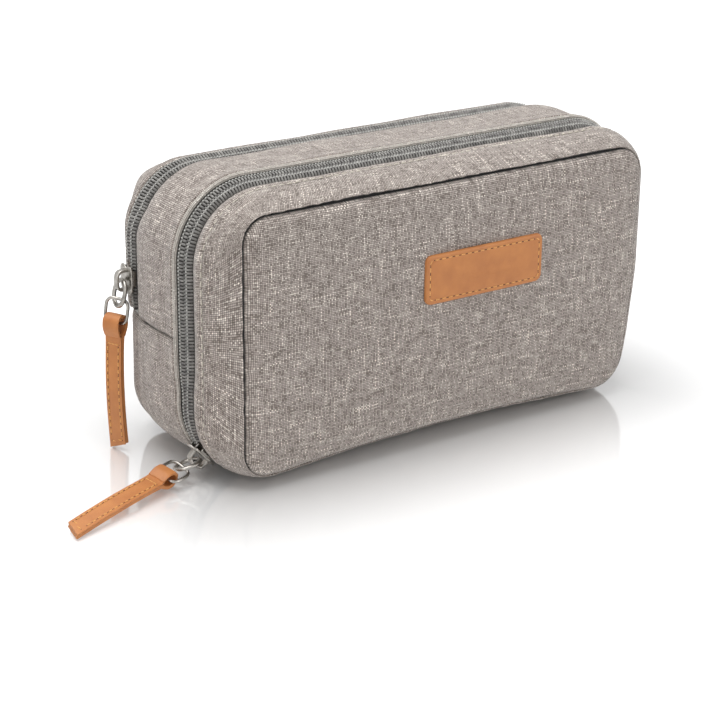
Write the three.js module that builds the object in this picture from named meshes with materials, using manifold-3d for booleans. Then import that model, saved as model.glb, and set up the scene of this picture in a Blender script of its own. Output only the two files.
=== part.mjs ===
// Soft insulated case for insulin pens: a padded box in heather fabric, with a zip round its
// front cover, a second zip over its rear flap, and a leather pull on each slider.
// Millimetres, +X to the right, the front towards -Y, +Z up, origin under the middle of the base.
import * as THREE from 'three';
import { mergeVertices } from 'three/addons/utils/BufferGeometryUtils.js';
import Module from 'manifold-3d';

const library = await Module();
library.setup();

// Driving sizes of the closed case
const caseLength = 196;
const caseHeight = 104.5;
const coverDepth = 22;
const middleDepth = 37;
const rearDepth = 17;
const cornerRadius = 26;
const foldHeight = 51;

// The front and back seams are smaller than the zip tracks, so the rims roll inwards
const seamInsetSide = 9.6;
const seamInsetTop = 5.1;
const seamInsetBase = 4.4;
const seamRadius = 10.3;
const trackLift = 0.8;
const rimDepth = 1.8;
const rimRoll = 9;
const middleBulge = 2.2;
const coverBulge = 1.4;

// Layers of the wall, from the outside in
const fabricThickness = 1.2;
const tapeThickness = 0.6;
const foamThickness = 2.6;
const liningThickness = 0.5;
const clearance = 0.3;
const overrun = 0.05;

// Zips
const zipSlot = 9;
const tapeReach = 11;
const coilWidth = 2.4;
const coilHeight = 1.8;
const coilParting = 1.2;
const zipStop = 2;
const foamSlot = 13;

// Sliders and pulls
const sliderLength = 10.5;
const sliderWidth = 8.2;
const sliderFit = 0.8;
const plateThickness = 1;
const postThickness = 0.6;
const flangeThickness = 0.7;
const crownWidth = 2.4;
const crownThickness = 1;
const eyeRoom = 0.5;
const eyeHalfLength = 3;
const linkWidth = 10;
const linkLength = 11;
const linkBar = 1.8;
const linkThickness = 1.2;
const wireRadius = 0.6;
const ringWidth = 9.8;
const ringLength = 10;
const ringCornerRadius = 2.6;
const ringOverBar = 2.5;
const strapWidth = 6.5;
const strapLength = 50.5;
const leatherThickness = 1.2;
const tunnelRadius = 2.2;
const strapNeck = 7;
const frontSliderAngle = 222;
const rearSliderRise = 13;

// Leather label, left bare
const labelWidth = 53;
const labelHeight = 18.3;
const labelThickness = 1.3;
const labelRadius = 2.5;
const labelX = 11.5;
const labelZ = 65;

// What lies inside
const bandWidth = 25;
const bandX = 46;
const bandThickness = 1;
const bandRise = 2.2;
const penCount = 4;
const penRoom = 14.25;
const penPitch = (caseHeight - 2 * penRoom) / penCount;
const gelSideRoom = 23;
const gelTopRoom = 13.25;
const gelLength = caseLength - 2 * gelSideRoom;
const gelHeight = caseHeight - 2 * gelTopRoom;
const gelThickness = 9;
const gelRim = 1;
const gelRadius = 12;
const netMargin = 3;
const pocketThickness = 0.8;
const coverPocketRoom = 24.25;
const coverPocketLength = caseLength - 2 * gelSideRoom;
const coverPocketHeight = caseHeight - 2 * coverPocketRoom;
const pocketHem = 7;

// Panels
const frontCrown = 2.6;
const backCrown = 2.2;
const panelSeat = 0.3;
const panelEdge = 0.5;
const dividerThickness = 5;
const dividerFrontY = 8;

// Counts of facets
const cornerSteps = 6;
const sideSteps = 2;
const panelRings = 5;
const roundSides = 8;

const caseDepth = coverDepth + middleDepth + rearDepth;
const frontSeamY = -caseDepth / 2;
const frontZipY = frontSeamY + coverDepth;
const rearZipY = frontZipY + middleDepth;
const backSeamY = caseDepth / 2;

// How deep each layer's outer face lies below the fabric's
const tapeDepth = fabricThickness + clearance;
const foamDepth = tapeDepth + tapeThickness + clearance;
const liningDepth = foamDepth + foamThickness + clearance;
const wallThickness = liningDepth + liningThickness;

const lerp = THREE.MathUtils.lerp;
const radians = THREE.MathUtils.degToRad;

// Materials
function finish(color, roughness, metalness = 0) {
  return new THREE.MeshStandardMaterial({ color, roughness, metalness });
}
const heather = finish(0xa79c92, 0.95);
const heatherDark = finish(0x958a80, 0.95);
const foam = finish(0xd9d9d4, 0.9);
const foil = finish(0xc9ccce, 0.35, 0.8);
const tapeCloth = finish(0x6b6a6c, 0.9);
const coilNylon = finish(0x5d5e60, 0.55);
const nickel = finish(0xb9b9ba, 0.3, 1);
const leather = finish(0xc6804c, 0.6);
const meshCloth = finish(0x55575a, 0.9);
const elastic = finish(0x3c3d40, 0.85);
const gelFilm = finish(0x9fc3dc, 0.3);

// Joins points and triangles into one closed geometry with its faces pointing out
function closedGeometry(points, triangles) {
  let volume = 0;
  for (const [a, b, c] of triangles) {
    const cross = new THREE.Vector3().crossVectors(points[b], points[c]);
    volume += points[a].dot(cross);
  }
  const faces = volume < 0 ? triangles.map(([a, b, c]) => [a, c, b]) : triangles;
  const geometry = new THREE.BufferGeometry();
  geometry.setAttribute('position', new THREE.Float32BufferAttribute(points.flatMap((p) => p.toArray()), 3));
  geometry.setIndex(faces.flat());
  geometry.computeVertexNormals();
  return geometry;
}

// Skins rings of equal count into a solid: a closed loop of rings, or a run with flat ends.
// The second half of each ring runs back along the first, so an end is a strip between them.
function skinRings(rings, closedLoop) {
  const count = rings[0].length;
  const points = rings.flat();
  const triangles = [];
  const last = closedLoop ? rings.length : rings.length - 1;
  for (let i = 0; i < last; i += 1) {
    const here = i * count;
    const there = ((i + 1) % rings.length) * count;
    for (let j = 0; j < count; j += 1) {
      const k = (j + 1) % count;
      const [p, q, r, t] = [here + j, there + j, there + k, here + k];
      const firstHalf = j < count / 2 - 1;
      triangles.push(...(firstHalf ? [[p, q, r], [p, r, t]] : [[p, q, t], [q, r, t]]));
    }
  }
  if (!closedLoop) {
    const end = (rings.length - 1) * count;
    for (let j = 0; j < count / 2 - 1; j += 1) {
      const across = count - 1 - j;
      for (const [a, b, c] of [[j, j + 1, across - 1], [j, across - 1, across]]) {
        triangles.push([a, b, c], [end + a, end + c, end + b]);
      }
    }
  }
  return closedGeometry(points, triangles);
}

// Solids for joining and cutting
function toSolid(geometry) {
  const bare = geometry.clone();
  bare.deleteAttribute('normal');
  bare.deleteAttribute('uv');
  const merged = mergeVertices(bare);
  return new library.Manifold(new library.Mesh({
    numProp: 3,
    vertProperties: new Float32Array(merged.attributes.position.array),
    triVerts: new Uint32Array(merged.index.array),
  }));
}

function fromSolid(solid) {
  const mesh = solid.getMesh();
  const geometry = new THREE.BufferGeometry();
  geometry.setAttribute('position', new THREE.BufferAttribute(new Float32Array(mesh.vertProperties), 3));
  geometry.setIndex(Array.from(mesh.triVerts));
  geometry.computeVertexNormals();
  return geometry;
}

function joined(geometries) {
  return fromSolid(geometries.map(toSolid).reduce((all, next) => all.add(next)));
}

function boxBetween(low, high) {
  const size = new THREE.Vector3().subVectors(high, low);
  const middle = new THREE.Vector3().addVectors(low, high).multiplyScalar(1 / 2);
  return new THREE.BoxGeometry(size.x, size.y, size.z).translate(middle.x, middle.y, middle.z);
}

// The case's outline in the XZ plane. Seam share 0 is a zip track and 1 is a panel seam, and
// "out" moves the outline outwards.
function outlineSizes(seamShare, out) {
  return {
    half: caseLength / 2 - seamInsetSide * seamShare + out,
    top: caseHeight - seamInsetTop * seamShare + out,
    base: lerp(trackLift, seamInsetBase, seamShare) - out,
    radius: lerp(cornerRadius, seamRadius, seamShare) + out,
  };
}

// Corners are numbered from the right top anticlockwise, as seen from the front
const rightTop = 0;
const leftTop = 1;
const leftBase = 2;
const rightBase = 3;
const quarterTurn = 90;

function cornerStation(corner, angle) {
  return (seamShare, out) => {
    const { half, top, base, radius } = outlineSizes(seamShare, out);
    const sideways = corner === rightTop || corner === rightBase ? half - radius : radius - half;
    const height = corner === rightTop || corner === leftTop ? top - radius : base + radius;
    const turn = radians(angle);
    return [sideways + radius * Math.cos(turn), height + radius * Math.sin(turn)];
  };
}

function betweenStation(from, to, share) {
  return (seamShare, out) => {
    const a = from(seamShare, out);
    const b = to(seamShare, out);
    return [lerp(a[0], b[0], share), lerp(a[1], b[1], share)];
  };
}

function heightStation(sideSign, height) {
  return (seamShare, out) => [sideSign * outlineSizes(seamShare, out).half, height];
}

function arcStations(corner, from, to) {
  const steps = Math.max(1, Math.round(cornerSteps * Math.abs(to - from) / quarterTurn));
  return Array.from({ length: steps + 1 }, (_, i) => cornerStation(corner, lerp(from, to, i / steps)));
}

function withSides(runs) {
  const stations = [];
  runs.forEach((run, index) => {
    if (index > 0) {
      const from = stations[stations.length - 1];
      for (let i = 1; i < sideSteps; i += 1) {
        stations.push(betweenStation(from, run[0], i / sideSteps));
      }
    }
    stations.push(...run);
  });
  return stations;
}

// The whole way round, and the parts of it that the pieces follow
const rightTopArc = arcStations(rightTop, 0, quarterTurn);
const leftTopArc = arcStations(leftTop, quarterTurn, 2 * quarterTurn);
const leftBaseArc = arcStations(leftBase, 2 * quarterTurn, 3 * quarterTurn);
const rightBaseArc = arcStations(rightBase, 3 * quarterTurn, 4 * quarterTurn);
const closingRun = [rightTopArc[0]];
const wholeLoop = withSides([rightTopArc, leftTopArc, leftBaseArc, rightBaseArc, closingRun]).slice(0, -1);

function overTop(height) {
  return withSides([[heightStation(1, height)], rightTopArc, leftTopArc, [heightStation(-1, height)]]);
}

function underBase(height) {
  return withSides([[heightStation(-1, height)], leftBaseArc, rightBaseArc, [heightStation(1, height)]]);
}

// Sweeps a section of points { y, seamShare, out } along stations of the outline. What would
// reach below the base is pressed flat against it.
function sweep(section, stations, closedLoop, floorDepth = 0) {
  const rings = stations.map((station) => section.map((p) => {
    const [x, z] = station(p.seamShare, p.out);
    return new THREE.Vector3(x, p.y, Math.max(z, floorDepth + (p.depth ?? 0)));
  }));
  return skinRings(rings, closedLoop);
}

// A layer of the wall: the outer face follows "face", and the inner one lies "thickness" deeper
function layerSection(face, depth, thickness) {
  const sunk = (p, below) => {
    const turn = radians(quarterTurn * (p.turned ?? 0));
    const straightIn = below * Math.cos(turn);
    return { ...p, y: p.y - (p.away ?? 0) * below * Math.sin(turn), out: p.out - straightIn, depth: straightIn };
  };
  const outer = face.map((p) => sunk(p, depth));
  const inner = face.map((p) => sunk(p, depth + thickness));
  return [...outer, ...inner.reverse()];
}

// How far a wall bulges beyond the zip tracks at a place along the depth
function wallOut(y) {
  if (y >= frontZipY && y <= rearZipY) {
    const share = (y - frontZipY) / middleDepth;
    return middleBulge * 4 * share * (1 - share);
  }
  const beyondFront = y < frontZipY;
  const zipY = beyondFront ? frontZipY : rearZipY;
  const reach = (beyondFront ? coverDepth : rearDepth) - rimRoll + rimDepth;
  return coverBulge * Math.sin(Math.PI / 2 * Math.min(1, Math.abs(y - zipY) / reach));
}

// The face of a stretch of wall, before it rolls over into a rim
const faceSteps = 4;
function wallFace(fromY, toY) {
  return Array.from({ length: faceSteps + 1 }, (_, i) => {
    const y = lerp(fromY, toY, i / faceSteps);
    return { y, seamShare: 0, out: wallOut(y) };
  });
}

// The face of a rim that rolls from a zip track over to the panel seam. Each row of the roll is
// how far along the roll, how far in, how much of the bulge is left, and the quarter turns made.
const rollShares = [
  [0, 0, 1, 0],
  [0.45, 0.08, 0.9, 0.12],
  [0.8, 0.32, 0.6, 0.4],
  [0.97, 0.62, 0.3, 0.75],
  [1, 0.86, 0.1, 1],
  [0.9, 1, 0, 1.2],
];
function rollingFace(fromY, zipY, seamY) {
  const away = Math.sign(seamY - zipY);
  const startY = seamY - away * (rimRoll - rimDepth);
  const peakY = seamY + away * rimDepth;
  const run = [0, 1 / 2].map((share) => lerp(fromY, startY, share));
  const roll = rollShares.map(([along, inwards, left, turned]) => ({
    y: lerp(startY, peakY, along),
    seamShare: inwards,
    out: coverBulge * left,
    turned,
    away,
  }));
  return [...run.map((y) => ({ y, seamShare: 0, out: wallOut(y) })), ...roll];
}

const halfSlot = zipSlot / 2;
const halfFoamSlot = foamSlot / 2;
const middleFace = wallFace(frontZipY + halfSlot, rearZipY - halfSlot);
const coverFace = rollingFace(frontZipY - halfSlot, frontZipY, frontSeamY);
const rearFace = rollingFace(rearZipY + halfSlot, rearZipY, backSeamY);
const baseFace = [...middleFace, ...rearFace];

const model = new THREE.Group();
function add(name, geometry, material, parent = model) {
  const mesh = new THREE.Mesh(geometry, material);
  mesh.name = name;
  parent.add(mesh);
  return mesh;
}

// Walls: fabric outside, foam in the middle, foil inside, each sewn from an upper part and a base
const crossSeam = clearance;
const upperStations = overTop(foldHeight + crossSeam);
const baseStations = underBase(foldHeight - crossSeam);

add('middle_gusset', sweep(layerSection(middleFace, 0, fabricThickness), upperStations, false), heather);
add('base_gusset', sweep(layerSection(baseFace, 0, fabricThickness), baseStations, false), heatherDark);
add('cover_gusset', sweep(layerSection(coverFace, 0, fabricThickness), wholeLoop, true), heather);
add('rear_gusset', sweep(layerSection(rearFace, 0, fabricThickness), upperStations, false), heather);

const foamEnd = 3;
const bodyFoamFace = wallFace(frontZipY + halfFoamSlot, rearZipY - halfFoamSlot);
const baseFoamFace = wallFace(frontZipY + halfFoamSlot, backSeamY - foamEnd - rimRoll);
const coverFoamFace = wallFace(frontZipY - halfFoamSlot, frontSeamY + foamEnd + rimRoll);
const walls = [
  ['middle', bodyFoamFace, upperStations, false],
  ['base', baseFoamFace, baseStations, false],
  ['cover', coverFoamFace, wholeLoop, true],
];
for (const [name, face, stations, closedLoop] of walls) {
  add(`${name}_foam`, sweep(layerSection(face, foamDepth, foamThickness), stations, closedLoop), foam);
  add(`${name}_lining`, sweep(layerSection(face, liningDepth, liningThickness), stations, closedLoop), foil);
}

// The living hinge under the cover, as two webs that meet on its axis
const webReach = 10;
const coverHingeY = frontZipY;
const hingeFrom = 255;
const hingeTo = 285;
const hingeStations = withSides([
  arcStations(leftBase, hingeFrom, 3 * quarterTurn),
  arcStations(rightBase, 3 * quarterTurn, hingeTo),
]);
const bodyWebFace = wallFace(coverHingeY + clearance, coverHingeY + webReach);
const coverWebFace = wallFace(coverHingeY - clearance, coverHingeY - webReach);
add('hinge_web_body', sweep(layerSection(bodyWebFace, tapeDepth, tapeThickness), hingeStations, false), tapeCloth);
add('hinge_web_cover', sweep(layerSection(coverWebFace, tapeDepth, tapeThickness), hingeStations, false), tapeCloth);

// Zip halves: a woven tape under the fabric's edge, with its coil standing in the slot
const tapeGap = coilParting / 2;
const coilDepth = tapeDepth - clearance - coilHeight;
const zipEnd = 240;
const coverSideStart = 210;

function zipHalf(name, zipY, side, stations) {
  const tapeFace = wallFace(zipY + side * tapeGap, zipY + side * tapeReach);
  const coilFace = wallFace(zipY + side * tapeGap, zipY + side * (tapeGap + coilWidth));
  add(`${name}_tape`, sweep(layerSection(tapeFace, tapeDepth, tapeThickness), stations, false), tapeCloth);
  add(`${name}_coil`, sweep(layerSection(coilFace, coilDepth, coilHeight), stations, false), coilNylon);
}

function roundFrom(startAngle) {
  return withSides([
    arcStations(rightBase, 3 * quarterTurn + (3 * quarterTurn - zipEnd), 4 * quarterTurn),
    rightTopArc,
    leftTopArc,
    arcStations(leftBase, 2 * quarterTurn, startAngle),
  ]);
}
zipHalf('front_zip_body', frontZipY, 1, roundFrom(zipEnd));
zipHalf('front_zip_cover', frontZipY, -1, roundFrom(coverSideStart));

function overTopFrom(rightHeight, leftHeight) {
  const right = heightStation(1, rightHeight);
  const left = heightStation(-1, leftHeight);
  return withSides([[right], rightTopArc, leftTopArc, [left]]);
}
const sliderRoom = sliderLength / 2 + zipStop;
const rearSliderHeight = foldHeight + rearSliderRise;
const rearZipFoot = foldHeight + clearance + zipStop;
zipHalf('rear_zip_body', rearZipY, -1, overTopFrom(rearZipFoot, rearZipFoot));
zipHalf('rear_zip_flap', rearZipY, 1, overTopFrom(rearZipFoot, rearSliderHeight + sliderRoom));

// A pad between two faces. Its outline shrinks ring by ring to the middle, and the faces are
// given as places along Y for each share of the way out to the edge.
function pad(outline, faceA, faceB) {
  const middle = outline.reduce((sum, p) => sum.add(p), new THREE.Vector2()).divideScalar(outline.length);
  const rings = [];
  const ringOf = (share, y) => outline.map((p) => {
    const q = p.clone().sub(middle).multiplyScalar(share).add(middle);
    return new THREE.Vector3(q.x, y, q.y);
  });
  for (let i = 1; i <= panelRings; i += 1) {
    const share = Math.sqrt(i / panelRings);
    rings.push(ringOf(share, faceA(share)));
  }
  for (let i = panelRings; i >= 1; i -= 1) {
    const share = Math.sqrt(i / panelRings);
    rings.push(ringOf(share, faceB(share)));
  }
  const count = outline.length;
  const points = rings.flat();
  const triangles = [];
  for (let i = 0; i < rings.length - 1; i += 1) {
    for (let j = 0; j < count; j += 1) {
      const k = (j + 1) % count;
      const [a, b] = [i * count, (i + 1) * count];
      triangles.push([a + j, b + j, b + k], [a + j, b + k, a + k]);
    }
  }
  const [first, last] = [points.length, points.length + 1];
  points.push(new THREE.Vector3(middle.x, faceA(0), middle.y), new THREE.Vector3(middle.x, faceB(0), middle.y));
  const end = (rings.length - 1) * count;
  for (let j = 0; j < count; j += 1) {
    const k = (j + 1) % count;
    triangles.push([first, j, k], [last, end + k, end + j]);
  }
  return closedGeometry(points, triangles);
}

function seamOutline(seamShare, out) {
  return wholeLoop.map((station) => new THREE.Vector2(...station(seamShare, out)));
}

function crowned(edgeY, crown) {
  return (share) => edgeY + crown * (1 - share ** 4);
}

// Front panel: crowned fabric over foam, lined with foil, set inside the rolled rim
const panelOutline = seamOutline(1, -panelSeat);
const panelLayers = [
  ['panel', 0, fabricThickness, heather],
  ['panel_foam', fabricThickness + clearance, foamThickness, foam],
  ['panel_lining', fabricThickness + foamThickness + 2 * clearance, liningThickness, foil],
];
const frontEdgeY = frontSeamY - panelEdge;
for (const [name, depth, thickness, material] of panelLayers) {
  const outer = frontEdgeY + depth;
  add(`front_${name}`, pad(panelOutline, crowned(outer, -frontCrown), crowned(outer + thickness, -frontCrown)), material);
}

// Back panel, in a lower part that is sewn to the base and an upper part that folds down
const backEdgeY = backSeamY + panelEdge;
const beyond = caseLength;
const lowerHalf = boxBetween(
  new THREE.Vector3(-beyond, -beyond, -beyond),
  new THREE.Vector3(beyond, beyond, foldHeight - crossSeam),
);
const upperHalf = boxBetween(
  new THREE.Vector3(-beyond, -beyond, foldHeight + crossSeam),
  new THREE.Vector3(beyond, beyond, beyond),
);
for (const [name, depth, thickness, material] of panelLayers) {
  const outer = backEdgeY - depth;
  const whole = toSolid(pad(panelOutline, crowned(outer, backCrown), crowned(outer - thickness, backCrown)));
  add(`back_${name}_lower`, fromSolid(whole.intersect(toSolid(lowerHalf))), material);
  add(`back_${name}_upper`, fromSolid(whole.intersect(toSolid(upperHalf))), material);
}

// Divider between the pens and the cold pack, sewn into the lining
const dividerCrown = 0.8;
const dividerBackY = dividerFrontY + dividerThickness;
const dividerGap = 0.5;
const insideDepth = wallThickness + dividerGap;
const dividerOut = Math.min(wallOut(dividerFrontY), wallOut(dividerBackY)) - insideDepth;
const insideOutline = seamOutline(0, dividerOut).map((p) => new THREE.Vector2(p.x, Math.max(p.y, insideDepth)));
add('divider', pad(
  insideOutline,
  crowned(dividerFrontY, -dividerCrown),
  crowned(dividerBackY, dividerCrown),
), foil);

function roundedOutline(centreX, centreZ, width, height, radius) {
  const corners = [[1, 1, 0], [-1, 1, 1], [-1, -1, 2], [1, -1, 3]];
  return corners.flatMap(([sideX, sideZ, quarter]) => Array.from({ length: roundSides / 2 + 1 }, (_, i) => {
    const turn = radians(quarterTurn * (quarter + i / (roundSides / 2)));
    return new THREE.Vector2(
      centreX + sideX * (width / 2 - radius) + radius * Math.cos(turn),
      centreZ + sideZ * (height / 2 - radius) + radius * Math.sin(turn),
    );
  }));
}

// Two elastic bands, tacked down between the pens so that they stand off in low arches
const insideMiddleZ = (caseHeight + trackLift) / 2;
const bandFaceY = dividerFrontY - dividerCrown - clearance;
const bandSteps = 6;
function penBand(name, centreX) {
  const outer = [];
  const inner = [];
  const tackY = bandFaceY - bandThickness;
  for (let i = 0; i <= penCount * bandSteps; i += 1) {
    const z = insideMiddleZ + (i / bandSteps - penCount / 2) * penPitch;
    const lift = bandRise * Math.abs(Math.sin(Math.PI * i / bandSteps));
    outer.push([tackY - lift, z]);
    inner.push([bandFaceY - lift, z]);
  }
  const section = [...outer, ...inner.reverse()];
  const rings = [-1, 1].map((side) => section.map(([y, z]) => (
    new THREE.Vector3(centreX + side * bandWidth / 2, y, z)
  )));
  add(name, skinRings(rings, false), elastic);
}
penBand('pen_band_left', -bandX);
penBand('pen_band_right', bandX);

// Cold pack in its net pocket behind the divider
const gelFrontY = dividerBackY + dividerCrown + clearance;
const gelBackY = gelFrontY + gelThickness;
const gelEdge = gelThickness / 2 - gelRim;
const gelOutline = roundedOutline(0, insideMiddleZ, gelLength, gelHeight, gelRadius);
add('cold_pack', pad(gelOutline, crowned(gelFrontY + gelEdge, -gelEdge), crowned(gelBackY - gelEdge, gelEdge)), gelFilm);
const netFrontY = gelBackY + clearance;
const netOutline = roundedOutline(0, insideMiddleZ, gelLength + 2 * netMargin, gelHeight + 2 * netMargin, gelRadius);
add('cold_pack_net', pad(netOutline, () => netFrontY, () => netFrontY + pocketThickness), meshCloth);

// Net pocket with a bound hem on the cover's lining
const coverLiningY = frontEdgeY + panelLayers[2][1] + liningThickness;
const pocketEdgeShare = coverPocketLength / 2 / (outlineSizes(1, -panelSeat).half);
const pocketY = crowned(coverLiningY, -frontCrown)(pocketEdgeShare) + clearance;
const pocketLow = insideMiddleZ - coverPocketHeight / 2;
function plate(name, low, high, material) {
  const halfLength = coverPocketLength / 2;
  add(name, boxBetween(
    new THREE.Vector3(-halfLength, pocketY, low),
    new THREE.Vector3(halfLength, pocketY + pocketThickness, high),
  ), material);
}
plate('cover_pocket_net', pocketLow, pocketLow + coverPocketHeight - pocketHem - clearance, meshCloth);
plate('cover_pocket_hem', pocketLow + coverPocketHeight - pocketHem, pocketLow + coverPocketHeight, elastic);

// Leather label on the front panel
const labelBackY = frontEdgeY - frontCrown - clearance;
const labelShape = new THREE.Shape(roundedOutline(labelX, labelZ, labelWidth, labelHeight, labelRadius));
const labelGeometry = new THREE.ExtrudeGeometry(labelShape, { depth: labelThickness, bevelEnabled: false })
  .rotateX(Math.PI / 2)
  .translate(0, labelBackY, 0);
add('label_patch', labelGeometry, leather);

// Sliders and pulls are made in a frame of their own: X across the zip, Y out of the wall, and
// Z along the track, against the way the pull hangs
function framed(origin, across, along) {
  const zAxis = along.clone().normalize();
  const xAxis = across.clone().addScaledVector(zAxis, -across.dot(zAxis)).normalize();
  const yAxis = new THREE.Vector3().crossVectors(zAxis, xAxis);
  return new THREE.Matrix4().makeBasis(xAxis, yAxis, zAxis).setPosition(origin);
}

const channelTop = sliderFit - coilDepth;
const flangeFoot = wallOut(frontZipY + sliderWidth / 2) - tapeDepth + sliderFit;
const channelFoot = -tapeDepth - tapeThickness - sliderFit;
const plateTop = channelTop + plateThickness;
const barReach = Math.hypot(linkBar / 2, linkThickness / 2);
const eyeHeight = 2 * (barReach + eyeRoom);
const pivotOut = plateTop + eyeHeight / 2;

function sliderGeometry() {
  const half = sliderWidth / 2;
  const nose = half * 0.72;
  const reach = sliderLength / 2;
  const shape = new THREE.Shape();
  shape.moveTo(-nose, -reach);
  shape.lineTo(nose, -reach);
  shape.lineTo(half, -reach / 3);
  shape.lineTo(half, reach * 0.8);
  shape.lineTo(half * 0.8, reach);
  shape.lineTo(-half * 0.8, reach);
  shape.lineTo(-half, reach * 0.8);
  shape.lineTo(-half, -reach / 3);
  shape.closePath();
  const plateAt = (low, thickness) => new THREE.ExtrudeGeometry(shape, { depth: thickness, bevelEnabled: false })
    .rotateX(Math.PI / 2)
    .translate(0, low + thickness, 0);
  const flange = (side) => boxBetween(
    new THREE.Vector3(Math.min(side * half, side * (half - flangeThickness)), flangeFoot, -reach / 3),
    new THREE.Vector3(Math.max(side * half, side * (half - flangeThickness)), channelTop + overrun, reach * 0.8),
  );
  const post = boxBetween(
    new THREE.Vector3(-postThickness / 2, channelFoot - overrun, reach / 4),
    new THREE.Vector3(postThickness / 2, channelTop + overrun, reach * 0.9),
  );
  const arch = new THREE.Shape();
  const foot = eyeHalfLength + crownThickness;
  const top = eyeHeight + crownThickness;
  arch.moveTo(-foot, -overrun);
  arch.lineTo(-foot, top - crownThickness);
  arch.quadraticCurveTo(-foot, top, -eyeHalfLength + crownThickness, top);
  arch.lineTo(eyeHalfLength - crownThickness, top);
  arch.quadraticCurveTo(foot, top, foot, top - crownThickness);
  arch.lineTo(foot, -overrun);
  arch.lineTo(eyeHalfLength, -overrun);
  arch.lineTo(eyeHalfLength, eyeHeight);
  arch.lineTo(-eyeHalfLength, eyeHeight);
  arch.lineTo(-eyeHalfLength, -overrun);
  arch.closePath();
  const crown = new THREE.ExtrudeGeometry(arch, { depth: crownWidth, bevelEnabled: false, curveSegments: roundSides })
    .translate(0, 0, -crownWidth / 2)
    .rotateY(-Math.PI / 2)
    .translate(0, plateTop, 0);
  return joined([
    plateAt(channelTop, plateThickness),
    plateAt(channelFoot - plateThickness, plateThickness),
    flange(-1),
    flange(1),
    post,
    crown,
  ]);
}

// A flat oval link whose upper bar is at the origin
function linkGeometry() {
  const straight = (linkLength - linkWidth) / 2;
  const oval = (path, radius) => {
    path.absarc(0, straight, radius, 0, Math.PI, false);
    path.absarc(0, -straight, radius, Math.PI, 2 * Math.PI, false);
    return path;
  };
  const shape = oval(new THREE.Shape(), linkWidth / 2);
  shape.holes.push(oval(new THREE.Path(), linkWidth / 2 - linkBar));
  return new THREE.ExtrudeGeometry(shape, { depth: linkThickness, bevelEnabled: false, curveSegments: roundSides })
    .rotateX(Math.PI / 2)
    .translate(0, linkThickness / 2, -(linkLength - linkBar) / 2);
}
const linkReach = linkLength - linkBar;

// A wire ring that passes over the link's lower bar, which is at the origin
function ringGeometry() {
  const height = ringLength - 2 * wireRadius;
  const line = roundedOutline(0, ringOverBar - height / 2, ringWidth - 2 * wireRadius, height, ringCornerRadius);
  const rings = line.map((p, i) => {
    const before = line[(i + line.length - 1) % line.length];
    const after = line[(i + 1) % line.length];
    const tangent = after.clone().sub(before).normalize();
    const outwards = new THREE.Vector2(tangent.y, -tangent.x);
    return Array.from({ length: roundSides }, (_, j) => {
      const turn = 2 * Math.PI * j / roundSides;
      const away = outwards.clone().multiplyScalar(wireRadius * Math.cos(turn)).add(p);
      return new THREE.Vector3(away.x, wireRadius * Math.sin(turn), away.y);
    });
  });
  return skinRings(rings, true);
}
const ringReach = ringLength - 2 * wireRadius - ringOverBar;

// A leather strap folded round the ring's lower bar, which is at the origin
function strapGeometry() {
  const foldRadius = tunnelRadius + leatherThickness;
  const side = new THREE.Shape();
  const tip = tunnelRadius + leatherThickness - strapLength;
  side.moveTo(leatherThickness, tip);
  side.lineTo(leatherThickness, -strapNeck);
  side.quadraticCurveTo(foldRadius, -foldRadius, foldRadius, 0);
  side.absarc(0, 0, foldRadius, 0, Math.PI, false);
  side.quadraticCurveTo(-foldRadius, -foldRadius, -leatherThickness, -strapNeck);
  side.lineTo(-leatherThickness, tip);
  side.closePath();
  side.holes.push(new THREE.Path().absarc(0, 0, tunnelRadius, 0, 2 * Math.PI, false));
  return new THREE.ExtrudeGeometry(side, { depth: strapWidth, bevelEnabled: false, curveSegments: roundSides })
    .rotateX(Math.PI / 2)
    .rotateZ(Math.PI / 2)
    .translate(-strapWidth / 2, 0, 0);
}

function puller(name, sliderFrame, pulls) {
  add(`${name}_slider`, sliderGeometry().applyMatrix4(sliderFrame), nickel);
  const pivot = new THREE.Vector3(0, pivotOut, 0).applyMatrix4(sliderFrame);
  const pieces = [
    ['link', linkGeometry, linkReach, nickel],
    ['ring', ringGeometry, ringReach, nickel],
    ['strap', strapGeometry, 0, leather],
  ];
  pieces.forEach(([piece, make, reach, material], i) => {
    const { direction, across, twist } = pulls[i];
    const place = framed(pivot, across, direction.clone().negate());
    add(`${name}_${piece}`, make().rotateZ(radians(twist)).applyMatrix4(place), material);
    pivot.addScaledVector(direction, reach);
  });
}

const acrossZip = new THREE.Vector3(0, 1, 0);
const upwards = new THREE.Vector3(0, 0, 1);
const rearLeans = [14, 9, 0];
const rearTwists = [-4, 34, 25];
puller(
  'rear',
  framed(new THREE.Vector3(-caseLength / 2, rearZipY, rearSliderHeight), acrossZip, upwards),
  rearLeans.map((lean, i) => ({
    direction: new THREE.Vector3(-Math.sin(radians(lean)), 0, -Math.cos(radians(lean))),
    across: acrossZip,
    twist: rearTwists[i],
  })),
);

// The front pull lies on the table, to the left of the case
const frontYaws = [9, 15, 20];
const frontPitches = [8, 5, 3];
const frontTwists = [-15, 22, 13];
const turn = radians(frontSliderAngle);
const cornerCentre = new THREE.Vector3(cornerRadius - caseLength / 2, frontZipY, trackLift + cornerRadius);
const outOfCorner = new THREE.Vector3(Math.cos(turn), 0, Math.sin(turn));
const alongCorner = new THREE.Vector3(Math.sin(turn), 0, -Math.cos(turn));
puller(
  'front',
  framed(cornerCentre.clone().addScaledVector(outOfCorner, cornerRadius), acrossZip, alongCorner),
  frontYaws.map((yaw, i) => {
    const pitch = radians(frontPitches[i]);
    const heading = radians(yaw);
    return {
      direction: new THREE.Vector3(
        -Math.cos(heading) * Math.cos(pitch),
        -Math.sin(heading) * Math.cos(pitch),
        -Math.sin(pitch),
      ),
      across: new THREE.Vector3(-Math.sin(heading), Math.cos(heading), 0),
      twist: frontTwists[i],
    };
  }),
);

export default model;
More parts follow.
